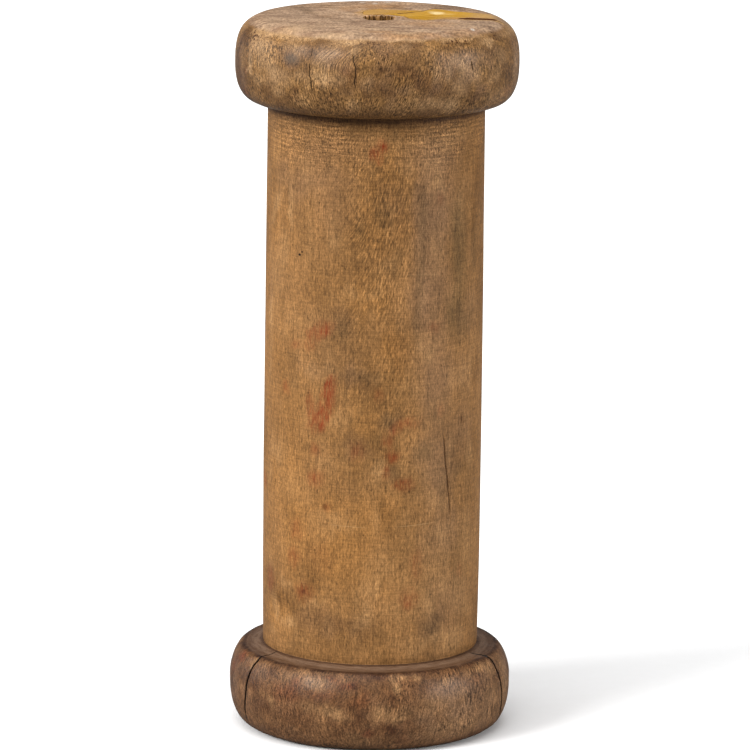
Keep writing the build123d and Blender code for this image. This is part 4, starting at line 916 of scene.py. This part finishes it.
def barrel_wood():
    g = Graph("barrel_old_wood")
    p, z = g.p, g.z
    az = g.math("ARCTAN2", g.x, g.mul(g.y, -1.0))
    u = g.mul(az, 37.7)
    flat = g.vec(u, z)
    warp = g.attribute("m_warp")
    dark, light, grey, cool = (g.attribute("m_" + n) for n in ("dark", "light", "grey", "cool"))

    # --- broad colour
    big = g.noise(p, (15, 15, 40), 3, 0.55, 3, 0.4)
    col = g.mix(g.step(big, 0.34, 0.66), seen((172, 126, 80)), seen((152, 111, 70)))
    col = g.mix(g.mul(g.attribute("m_gold"), 0.85), col, seen((178, 126, 72)))
    col = g.mix(g.mul(grey, 0.85), col, seen((152, 117, 89)))
    col = g.mix(g.mul(dark, 0.72), col, seen((104, 72, 44)))
    col = g.mix(g.mul(cool, 0.62), col, seen((92, 80, 58)))
    col = g.mix(g.mul(light, 0.75), col, seen((208, 160, 108)))

    # --- upright fibre, in bands, streaks and hairs
    fibre = g.noise(p, (0.66, 0.66, 12), 2, 0.6, 6, 0.1)
    hair = g.noise(p, (0.45, 0.45, 1.5), 2, 0.7, 7)
    near_top = g.mul(g.step(z, 194, 214), g.step(big, 0.62, 0.40, 0.35, 1.0))
    grit = g.noise(p, (0.40, 0.40, 0.46), 0, 0.5, 8)
    tone = g.mul(g.mad(g.sub(fibre, 0.5), 0.90, 1.0), g.mad(g.sub(hair, 0.5), 1.75, 1.0))
    tone = g.mul(tone, g.mad(g.sub(grit, 0.5), g.mad(near_top, 1.6, 0.45), 1.0))

    # --- short pale flecks of the wood's figure, leaning to the right
    figure = g.attribute("m_figure")
    du = g.add(u, g.mul(warp, 1.6))
    steep = g.noise(g.vec(g.mad(z, -0.22, du), z), (0.52, 2.7, 1.0), 1, 0.5, 3)
    slack = g.noise(g.vec(g.mad(z, -0.52, du), z), (0.52, 2.7, 1.0), 1, 0.5, 10)
    mixed = g.node("ShaderNodeMix", data_type="FLOAT")
    for socket, v in zip((mixed.inputs[0], mixed.inputs[2], mixed.inputs[3]), (g.step(u, -9, 5), slack, steep)):
        g.put(socket, v)
    lines = mixed.outputs[0]
    tone = g.mul(tone, g.mad(g.mul(figure, g.step(lines, 0.52, 0.64)), 0.52, 1.0))
    tone = g.mul(tone, g.mad(g.mul(figure, g.step(lines, 0.48, 0.36)), -0.36, 1.0))

    # --- dark pores: short upright dashes
    pore = g.step(g.noise(p, (0.46, 0.46, 2.4), 1, 0.5, 11), 0.60, 0.70)
    tone = g.mul(tone, g.mad(pore, -0.36, 1.0))

    # --- fine level lines left by the lathe and the wound thread
    level = g.noise(flat, (10, 0.52, 1.0), 2, 0.65, 13)
    tone = g.mul(tone, g.mad(g.sub(level, 0.5), g.mad(near_top, 1.2, 0.75), 1.0))
    turned = g.math("SINE", g.mul(g.add(z, g.mul(warp, 1.6)), 2 * math.pi / 1.55))
    tone = g.mul(tone, g.mad(g.mul(turned, near_top), 0.19, 1.0))

    # --- mottle and grime
    mott = g.noise(p, (1.3, 1.3, 2.2), 4, 0.80, 17)
    tone = g.mul(tone, g.mad(g.sub(mott, 0.5), 0.80, 1.0))
    col = g.shade(col, tone)

    # --- red traces of old dye, caught in the fibre
    red = g.mul(g.attribute("m_red"), g.step(g.noise(p, (0.55, 0.55, 3.6), 2, 0.6, 19), 0.30, 0.62, 0.25, 1.0))
    col = g.mix(g.mul(red, 0.90), col, seen((150, 54, 34)))

    # --- small dark marks: pin holes, specks
    for c, r, k, tone2 in (
        ((-28.2, 171.4), (0.70, 0.52), 0.95, (34, 20, 12)), ((-27.1, 172.5), (0.46, 0.40), 0.92, (40, 24, 16)), ((-16.4, 84.5), (0.9, 1.3), 0.5, (98, 56, 34)),
        ((35.4, 113.6), (0.5, 1.3), 0.6, (70, 44, 26)), ((-16.0, 78.6), (1.5, 0.5), 0.4, (104, 66, 40)), ((52.0, 170.0), (0.7, 0.9), 0.8, (50, 32, 22)), ((-70.0, 110.0), (0.6, 0.8), 0.8, (46, 30, 20)),
        ((-24.8, 53.2), (1.1, 1.0), 0.5, (74, 36, 26)), ((-8.0, 61.0), (0.6, 0.7), 0.4, (90, 60, 36)),
    ):
        col = g.mix(g.mul(g.spot(flat, c, r, 0, (1.2, 0.5)), k), col, seen(tone2))
    d3, c3 = g.cells(flat, (3.0, 3.8, 1.0), 21)
    col = g.mix(g.all(g.step(d3, 0.15, 0.05), g.step(g.red(c3), 0.50, 0.70), 0.55), col, seen((74, 50, 32)))
    # --- level scratches
    for c, r, turn, k in (((16.0, 78.6), (9.0, 0.20), 2.0, 0.35), ((-8.0, 78.3), (9.0, 0.20), -1.5, 0.30), ((2.0, 97.4), (6.0, 0.16), 1, 0.2), ((18.0, 166.0), (8.0, 0.18), -3, 0.25)):
        col = g.mix(g.mul(g.spot(flat, c, r, turn, (1.2, 0.3)), k), col, seen((214, 172, 120)))

    # --- darker down against the foot; under the top head, dirt with painted shade where the head overhangs; the crack darkened with dirt and painted shade in it
    rag = g.add(z, g.mul(g.sub(mott, 0.5), 3.0))
    col = g.mix(g.mul(g.step(rag, 33.0, 30.0), 0.25), col, seen((92, 64, 42)))
    col = g.mix(g.mul(g.step(rag, 211, 219), 0.26), col, seen((98, 72, 46)))
    col = g.mix(g.mul(g.step(rag, 216.4, 219.8), 0.70), col, seen((52, 34, 18)))
    col = g.mix(g.mul(g.step(g.attribute("crack"), 0.05, 0.8), 0.66), col, seen((52, 34, 22)))

    # --- relief and polish
    height = g.mad(hair, 0.55, g.mul(level, 0.35))
    height = g.add(height, g.mul(mott, 0.55))
    normal = g.bump(height, 0.55, 0.22)
    rough = g.mad(g.sub(mott, 0.5), 0.30, 0.58)
    return g.finish(col, rough, normal, 0.12)


# ------------------------------------------------------------------ head wood
def head_wood(name, foot):
    g = Graph(name)
    p, z = g.p, g.z
    s = 40 * foot
    r = g.math("SQRT", g.add(g.mul(g.x, g.x), g.mul(g.y, g.y)))
    u = g.mul(g.math("ARCTAN2", g.x, g.mul(g.y, -1.0)), 49.0)
    warp = g.attribute("m_warp")
    face = g.attribute("m_face")
    light, dark, grey, warm = (g.attribute("m_" + n) for n in ("light", "dark", "grey", "warm"))

    # --- rim: blotched tan, brown and dark brown
    if foot:
        base, tan, brown, ash, black, pale = (118, 87, 64), (131, 95, 68), (112, 82, 62), (150, 119, 96), (64, 44, 34), (184, 142, 100)
    else:
        base, tan, brown, ash, black, pale = (136, 102, 68), (152, 114, 74), (122, 91, 64), (156, 124, 102), (60, 41, 24), (216, 174, 128)
    mid = g.noise(p, (5.0, 5.0, 9.0), 3, 0.6, 4 + s, 0.3)
    rim = g.mix(g.step(mid, 0.36, 0.66), seen(tan, 1.5, 0.020), seen(base, 1.5, 0.020))
    rim = g.mix(g.mul(g.step(warm, 0.6, 0.1), 0.6), rim, seen(brown, 1.5, 0.020))
    # on the rims the grey and light mixes also bring in painted sheen, and the black mix the top's painted shade at its
    # sides and underside
    rim = g.mix(g.mul(grey, 0.80), rim, seen(ash, 1.5, 0.020))
    rim = g.mix(g.mul(dark, 0.85), rim, seen(black, 1.5, 0.020))
    rim = g.mix(g.mul(light, 0.80), rim, seen(pale, 1.5, 0.020))
    rim = g.mix(g.mul(g.attribute("m_red"), 0.62), rim, seen((118, 54, 42), 1.5, 0.020))

    # upright strokes of grain, bowed where the rounding cuts the rings
    dz = g.sub(z, 15.0 if foot else 236.0)
    bowed = g.add(g.add(u, g.mul(warp, 1.4)), g.all(dz, dz, 0.010, g.math("SINE", g.mul(u, 0.11))))
    bowed = g.add(bowed, g.all(dz, g.step(u, -16, 0), g.step(u, 36, 22), -0.15 if foot else -0.26))
    if not foot:
        bowed = g.add(bowed, g.mul(dz, g.step(u, -10, -24, 0.0, 0.12)))
    # measured along the rounding, so that strokes keep their length where it turns over
    grain_v = g.vec(bowed, g.add(z, g.mul(g.step(dz, -5.0, 5.0, -1.0, 1.0), g.sub(49.0, r))))
    stroke = g.noise(grain_v, (0.42, 1.9, 1.0), 2, 0.65, 5 + s)
    hatch = g.noise(grain_v, (0.50, 6.0, 1.0), 0, 0.5, 8 + s)
    fine = g.noise(p, (0.44, 0.44, 0.58), 1, 0.6, 6 + s)
    pits = g.noise(p, (0.60, 0.60, 0.70), 3, 0.74, 10 + s)
    pit = g.step(pits, 0.58, 0.65)
    calm = g.step(warm, 0.2, 0.8, 0.5, 1.0) if foot else g.mul(g.step(z, 249.0, 244.0, 0.3, 1.0), g.step(warm, 0.25, 0.75, 0.45, 1.0))
    crisp = g.step(u, 0, 18, 3.7, 4.8) if foot else 4.9
    flat = g.vec(u, z)
    if not foot:
        # a patch of bowed strokes, and a few level layers low down on the right
        up = g.hi(g.sub(z, 238.3), 0.0)
        arc = g.noise(g.vec(g.sub(u, g.all(up, up, 0.115)), z), (0.44, 4.0, 1.0), 1, 0.5, 31)
        bow = g.spot(flat, (-14.4, 241.0), (8.6, 5.0), 0, (1.2, 0.6))
        layer = g.noise(g.vec(u, g.mad(warp, 1.2, z)), (5.0, 0.48, 1.0), 1, 0.6, 32)
        low = g.spot(flat, (38.5, 231.2), (8.5, 4.2), 0, (1.2, 0.4))
        calm = g.mul(calm, g.mad(g.hi(bow, low), -0.65, 1.0))
    tone = g.mul(g.mad(g.mul(g.sub(stroke, 0.5), calm), crisp, 1.0), g.mad(g.sub(fine, 0.5), 1.8, 1.0))
    tone = g.mul(tone, g.mad(g.mul(g.step(hatch, 0.60, 0.70), calm), -0.34, 1.0))
    tone = g.mul(tone, g.mad(g.mul(g.step(hatch, 0.40, 0.30), calm), 0.24, 1.0))
    if not foot:
        tone = g.mul(tone, g.mad(g.mul(g.sub(arc, 0.5), bow), 2.9, 1.0))
        tone = g.mul(tone, g.mad(g.mul(g.sub(layer, 0.5), low), 1.9, 1.0))
    tone = g.mul(g.hi(tone, 0.15), g.mad(pit, -0.40, 1.07))
    rim = g.shade(rim, tone)

    # --- end face: streaks that run across, close to level with X
    turn = math.radians(-6.0)
    across = g.noise(p, (7.0, 4.5, 30), 5, 0.70, 11 + s, 0.5, (0, 0, turn))
    thin = g.noise(p, (1.5, 1.0, 20), 3, 0.74, 13 + s, 0.0, (0, 0, turn))
    speck = g.noise(p, (0.95, 1.9, 20), 1, 0.6, 14 + s)
    end = g.mix(g.step(across, 0.38, 0.62), seen((200, 167, 137), 1.4, 0.030), seen((164, 133, 109), 1.4, 0.030))
    end = g.mix(g.mul(warm, 0.85), end, seen((186, 140, 98), 1.4, 0.030))
    end = g.mix(g.mul(grey, 0.75), end, seen((160, 136, 116), 1.4, 0.030))
    end = g.mix(g.mul(dark, 0.75), end, seen((112, 88, 68), 1.4, 0.030))
    end = g.mix(g.mul(light, 0.75), end, seen((224, 188, 148), 1.4, 0.030))
    end = g.shade(end, g.mul(g.mad(g.sub(thin, 0.5), 1.2, 1.0), g.mad(g.sub(speck, 0.5), g.step(g.x, -20, 15, 1.2, 1.6), 1.0)))
    end = g.shade(end, g.mad(g.step(thin, 0.60, 0.70), -0.22, 1.0))
    if foot:
        end = g.shade(end, 0.60)
    if not foot:
        end = g.mix(g.mul(g.attribute("m_stain"), 0.62), end, seen((204, 156, 86), 1.4, 0.030))
    col = g.mix(face, rim, end)
    bore_shade = g.step(r, 6.3, 5.7)

    if foot:
        # the shoulder ring: grey-brown, with a painted highlight band across its middle, and dark on both sides: a dark
        # line along its nicked outer edge, and painted shade in the corner beside the barrel
        ring_n = g.noise(g.vec(u, r), (7, 0.8, 1.0), 3, 0.62, 18)
        ring_col = g.mix(g.step(ring_n, 0.35, 0.65), seen((119, 94, 77), 1.3, 0.020), seen((96, 73, 58), 1.3, 0.020))
        ring_col = g.mix(g.all(g.step(r, 38.2, 39.4), g.step(r, 42.6, 40.6, 0.0, 0.75), g.step(ring_n, 0.65, 0.40, 0.4, 1.0)), ring_col, seen((138, 113, 94), 1.3, 0.020))
        col = g.mix(g.mul(g.attribute("m_ring"), 0.90), col, ring_col)
        col = g.mix(g.mul(g.attribute("m_dark_line_and_shade"), 0.78), col, seen((50, 34, 24), 1.3, 0.020))
        # painted shade: the foot's bore darkened
        col = g.mix(bore_shade, col, seen((44, 28, 18)))
    else:
        # dark freckles under the worn upper edge
        d5, c5 = g.cells(p, (1.2, 1.2, 0.9), 16)
        belt = g.all(g.step(z, 243.6, 245.8), g.step(z, 248.6, 247.0), g.step(r, 40, 43))
        col = g.mix(g.all(g.step(d5, 0.32, 0.12), g.step(g.red(c5), 0.40, 0.65), belt, 0.62), col, seen((74, 48, 28)))
        d6, c6 = g.cells(p, (1.5, 1.5, 1.1), 27)
        spots = 0.0
        for cc, rr, k in (((30.8, 246.9), (7.4, 1.3), 1.0), ((-55.0, 246.0), (5.0, 3.4), 0.9), ((51.5, 247.0), (5.5, 2.2), 0.8), ((-5.0, 247.0), (9.0, 0.9), 0.6), ((-40.0, 246.2), (9.0, 0.8), 0.5)):
            spots = g.hi(spots, g.mul(g.spot(flat, cc, rr, 0, (1.25, 0.4)), k))
        col = g.mix(g.all(g.step(d6, 0.46, 0.28), g.step(g.red(c6), 0.15, 0.35), spots, 0.92), col, seen((62, 36, 18)))
        # a blue-grey smudge
        col = g.mix(g.mul(g.spot(flat, (-31.2, 240.7), (4.0, 2.3), 0, (1.25, 0.15)), 0.55), col, seen((112, 101, 88)))
        # white scuffs and a chip
        plan = g.vec(g.x, g.y)
        for cc, rr, k in (((32.2, -25.6), (0.9, 1.6), 0.85), ((-1.0, 33.5), (1.2, 2.4), 0.55), ((3.5, 36.0), (1.6, 1.6), 0.5), ((-5.5, 34.5), (1.2, 1.4), 0.5)):
            col = g.mix(g.all(g.spot(plan, cc, rr, 0, (1.3, 0.3)), g.step(z, 247, 248), g.step(pits, 0.30, 0.50), k), col, seen((236, 222, 206), 1.5))
        # torn fibres just inside the spindle hole, darkened further down with painted shade
        fibres = g.noise(g.vec(g.mul(u, 0.108), z), (0.55, 7.0, 1.0), 1, 0.6, 17)
        torn = g.mix(g.step(fibres, 0.42, 0.60), seen((92, 62, 32)), seen((170, 126, 76)))
        torn = g.mix(g.attribute("m_dark_line_and_shade"), torn, seen((40, 24, 12)))
        col = g.mix(g.attribute("m_ring"), col, torn)
    # the cracks and the split's hollow darkened: painted shade in them, with dirt
    col = g.mix(g.mul(g.step(g.attribute("crack"), 0.08, 0.75), 0.92 if foot else 0.76), col, seen((30, 18, 10)))

    relief_rim = g.mad(g.sub(stroke, 0.5), 0.8, g.mul(g.sub(pits, 0.5), -0.7))
    relief_end = g.mad(g.sub(thin, 0.5), 0.9, g.mul(g.sub(pits, 0.5), 0.5))
    height = g.node("ShaderNodeMix", data_type="FLOAT")
    for socket, v in zip((height.inputs[0], height.inputs[2], height.inputs[3]), (face, relief_rim, relief_end)):
        g.put(socket, v)
    normal = g.bump(height.outputs[0], 0.42, 0.22)
    rough = g.mad(g.sub(mid, 0.5), 0.40, g.mad(face, 0.22, 0.40))
    rough = g.add(rough, g.mul(pit, 0.15))
    return g.finish(col, rough, normal, 0.16)


# ------------------------------------------------------------------ yellow filler
def filler_stuff():
    g = Graph("hard_yellow_filler")
    p = g.p
    turn = math.radians(-4.0)
    streak = g.noise(p, (9, 0.9, 3), 3, 0.6, 1, 0.4, (0, 0, turn))
    patch = g.noise(p, (4, 3, 3), 3, 0.6, 2)
    fine = g.noise(p, (1.6, 0.40, 1.0), 2, 0.6, 3, 0.0, (0, 0, turn))
    col = g.mix(g.step(streak, 0.35, 0.65), seen((216, 168, 80), 1.4, 0.030), seen((192, 142, 60), 1.4, 0.030))
    col = g.mix(g.mul(g.step(patch, 0.45, 0.72), 0.45), col, seen((186, 132, 52), 1.4, 0.030))
    col = g.shade(col, g.mad(g.sub(fine, 0.5), 0.45, 1.0))
    flat = g.vec(g.add(g.x, g.mul(g.sub(patch, 0.5), 5)), g.add(g.y, g.mul(g.sub(streak, 0.5), 3)))
    # among the spots, (35, -5.2) is a painted shadow line along the open crack, and (20.6, 5.8) with (24.6, 4.2) a
    # painted highlight on the crest
    for c, r, k, tone in (
        ((0, 13), (9, 7), 0.70, (204, 158, 98)), ((-2, 7), (5, 3), 0.60, (218, 172, 110)), ((43, 2), (10, 9), 0.95, (208, 168, 116)), ((14, -2), (6, 4), 0.60, (198, 148, 44)),
        ((28, 7), (7, 5), 0.45, (222, 170, 66)), ((34, 3), (6, 5), 0.45, (208, 164, 92)), ((17, -5.5), (5, 1.6), 0.55, (206, 160, 82)), ((26.5, -2.4), (7, 2.8), 0.85, (198, 154, 100)), ((33.5, -0.5), (3.4, 1.6), 0.80, (226, 184, 134)), ((35, -5.2), (7.5, 0.9), 0.80, (66, 40, 18)),
        ((20.6, 5.8), (3.2, 1.7), 0.85, (255, 232, 176)), ((17.0, 8.0), (3.4, 1.4), 0.50, (236, 190, 96)), ((24.6, 4.2), (2.6, 1.2), 0.45, (240, 202, 128)),
    ):
        col = g.mix(g.mul(g.spot(flat, c, r, 0, (1.3, 0.2)), k), col, seen(tone, 1.4, 0.030))
    out = g.add(g.x, g.mul(g.sub(patch, 0.5), 4))
    col = g.mix(g.mul(g.step(out, 30.5, 35.0), 0.55), col, seen((204, 162, 110), 1.4, 0.030))
    col = g.mix(g.mul(g.step(out, 38.5, 42.5), 0.92), col, seen((162, 134, 108), 1.4, 0.030))
    # the crack value darkens the filler's edges, and paints the shadow line along the crest and the shade under the lip
    col = g.mix(g.mul(g.step(g.attribute("crack"), 0.10, 0.80), 0.92), col, seen((78, 46, 20), 1.4, 0.030))
    relief = g.mad(g.sub(streak, 0.5), 0.9, g.mul(g.sub(fine, 0.5), 0.6))
    normal = g.bump(g.add(relief, g.mul(patch, 0.5)), 0.5, 0.3)
    rough = g.mad(g.sub(patch, 0.5), 0.25, 0.36)
    return g.finish(col, rough, normal, 0.10)


for node, m in (("barrel", barrel_wood()), ("bottom_head", head_wood("foot_old_wood", 1)),
                ("top_head", head_wood("top_old_wood", 0)), ("split_filler", filler_stuff())):
    pieces[node].data.materials.append(m)


# ------------------------------------------------------------------ floor, lights, camera
floor_mesh = bpy.data.meshes.new("studio_floor")
floor_mesh.from_pydata([(-30, -8, 0), (30, -8, 0), (30, 40, 0), (-30, 40, 0)], [], [(0, 1, 2, 3)])
floor = bpy.data.objects.new("studio_floor", floor_mesh)
scene.collection.objects.link(floor)
floor.location.z = -0.00005
fg = Graph("floor_paper")
paper = fg.noise(fg.p, (4, 4, 4), 3, 0.5, 1)
seen_by = fg.node("ShaderNodeLightPath").outputs["Is Camera Ray"]
in_gloss = fg.node("ShaderNodeLightPath").outputs["Is Glossy Ray"]
away = fg.mix(in_gloss, fg.mix(paper, (0.42, 0.42, 0.42), (0.46, 0.46, 0.46)), (0.20, 0.20, 0.20))
tint = fg.mix(seen_by, away, fg.mix(paper, (0.90, 0.90, 0.895), (0.93, 0.93, 0.93)))
fg.finish(tint, 0.9, fg.bump(paper, 0.1, 0.05), 0.0)
floor.data.materials.append(fg.m)

from mathutils import Matrix, Vector
world = bpy.data.worlds.new("studio")
scene.world = world
world.use_nodes = True
wt = world.node_tree
backdrop = wt.nodes["Background"]
backdrop.inputs["Color"].default_value = (1, 1, 1, 1)
backdrop.inputs["Strength"].default_value = 1.0
# the white backdrop gives only part of its light to the room, as a paper sweep does
room = wt.nodes.new("ShaderNodeBackground")
room.inputs["Color"].default_value = (0.97, 0.98, 1.0, 1)
room.inputs["Strength"].default_value = 0.36
path, both = wt.nodes.new("ShaderNodeLightPath"), wt.nodes.new("ShaderNodeMixShader")
dim = wt.nodes.new("ShaderNodeBackground")
dim.inputs["Color"].default_value = (0.97, 0.98, 1.0, 1)
dim.inputs["Strength"].default_value = 0.18
off = wt.nodes.new("ShaderNodeMixShader")
wt.links.new(path.outputs["Is Glossy Ray"], off.inputs[0])
wt.links.new(room.outputs[0], off.inputs[1])
wt.links.new(dim.outputs[0], off.inputs[2])
wt.links.new(path.outputs["Is Camera Ray"], both.inputs[0])
wt.links.new(off.outputs[0], both.inputs[1])
wt.links.new(backdrop.outputs[0], both.inputs[2])
wt.links.new(both.outputs[0], wt.nodes["World Output"].inputs["Surface"])


def far_softbox(name, azimuth, elevation, level, spread):
    """A large soft light a long way off: level is the brightness it gives a white card that faces it."""
    l = bpy.data.lights.new(name, "SUN")
    l.energy = level * math.pi
    l.angle = math.radians(spread)
    o = bpy.data.objects.new(name, l)
    scene.collection.objects.link(o)
    a, e = math.radians(azimuth), math.radians(elevation)
    back = Vector((math.sin(a) * math.cos(e), -math.cos(a) * math.cos(e), math.sin(e)))
    o.location = back * 2.0
    o.rotation_euler = back.to_track_quat("Z", "Y").to_euler()
    return o


far_softbox("key_left", -53, 29, 0.94, 24)
far_softbox("side_left", -108, 8, 0.30, 40)
far_softbox("fill_right", 73, 14, 0.585, 28)
far_softbox("top_light", -20, 70, 0.62, 60)

cam_data = bpy.data.cameras.new("camera")
cam = bpy.data.objects.new("camera", cam_data)
scene.collection.objects.link(cam)
PITCH, ROLL = 0.20362512241489814, 0.012865694631006503
cam.location = (0.0, -1.964446, 0.529582)
cam_data.sensor_width = 36.0
cam_data.lens = 5755.269408 / 750.0 * 36.0
cam_data.shift_x = (375.0 - 373.185583) / 750.0
cam_data.shift_y = 0.0
cam_data.clip_end = 100.0
look = Matrix.Rotation(math.pi / 2 - PITCH, 4, "X")
turn = Matrix.Rotation(ROLL, 4, "Z")
cam.matrix_world = Matrix.Translation(cam.location) @ look @ turn
scene.camera = cam
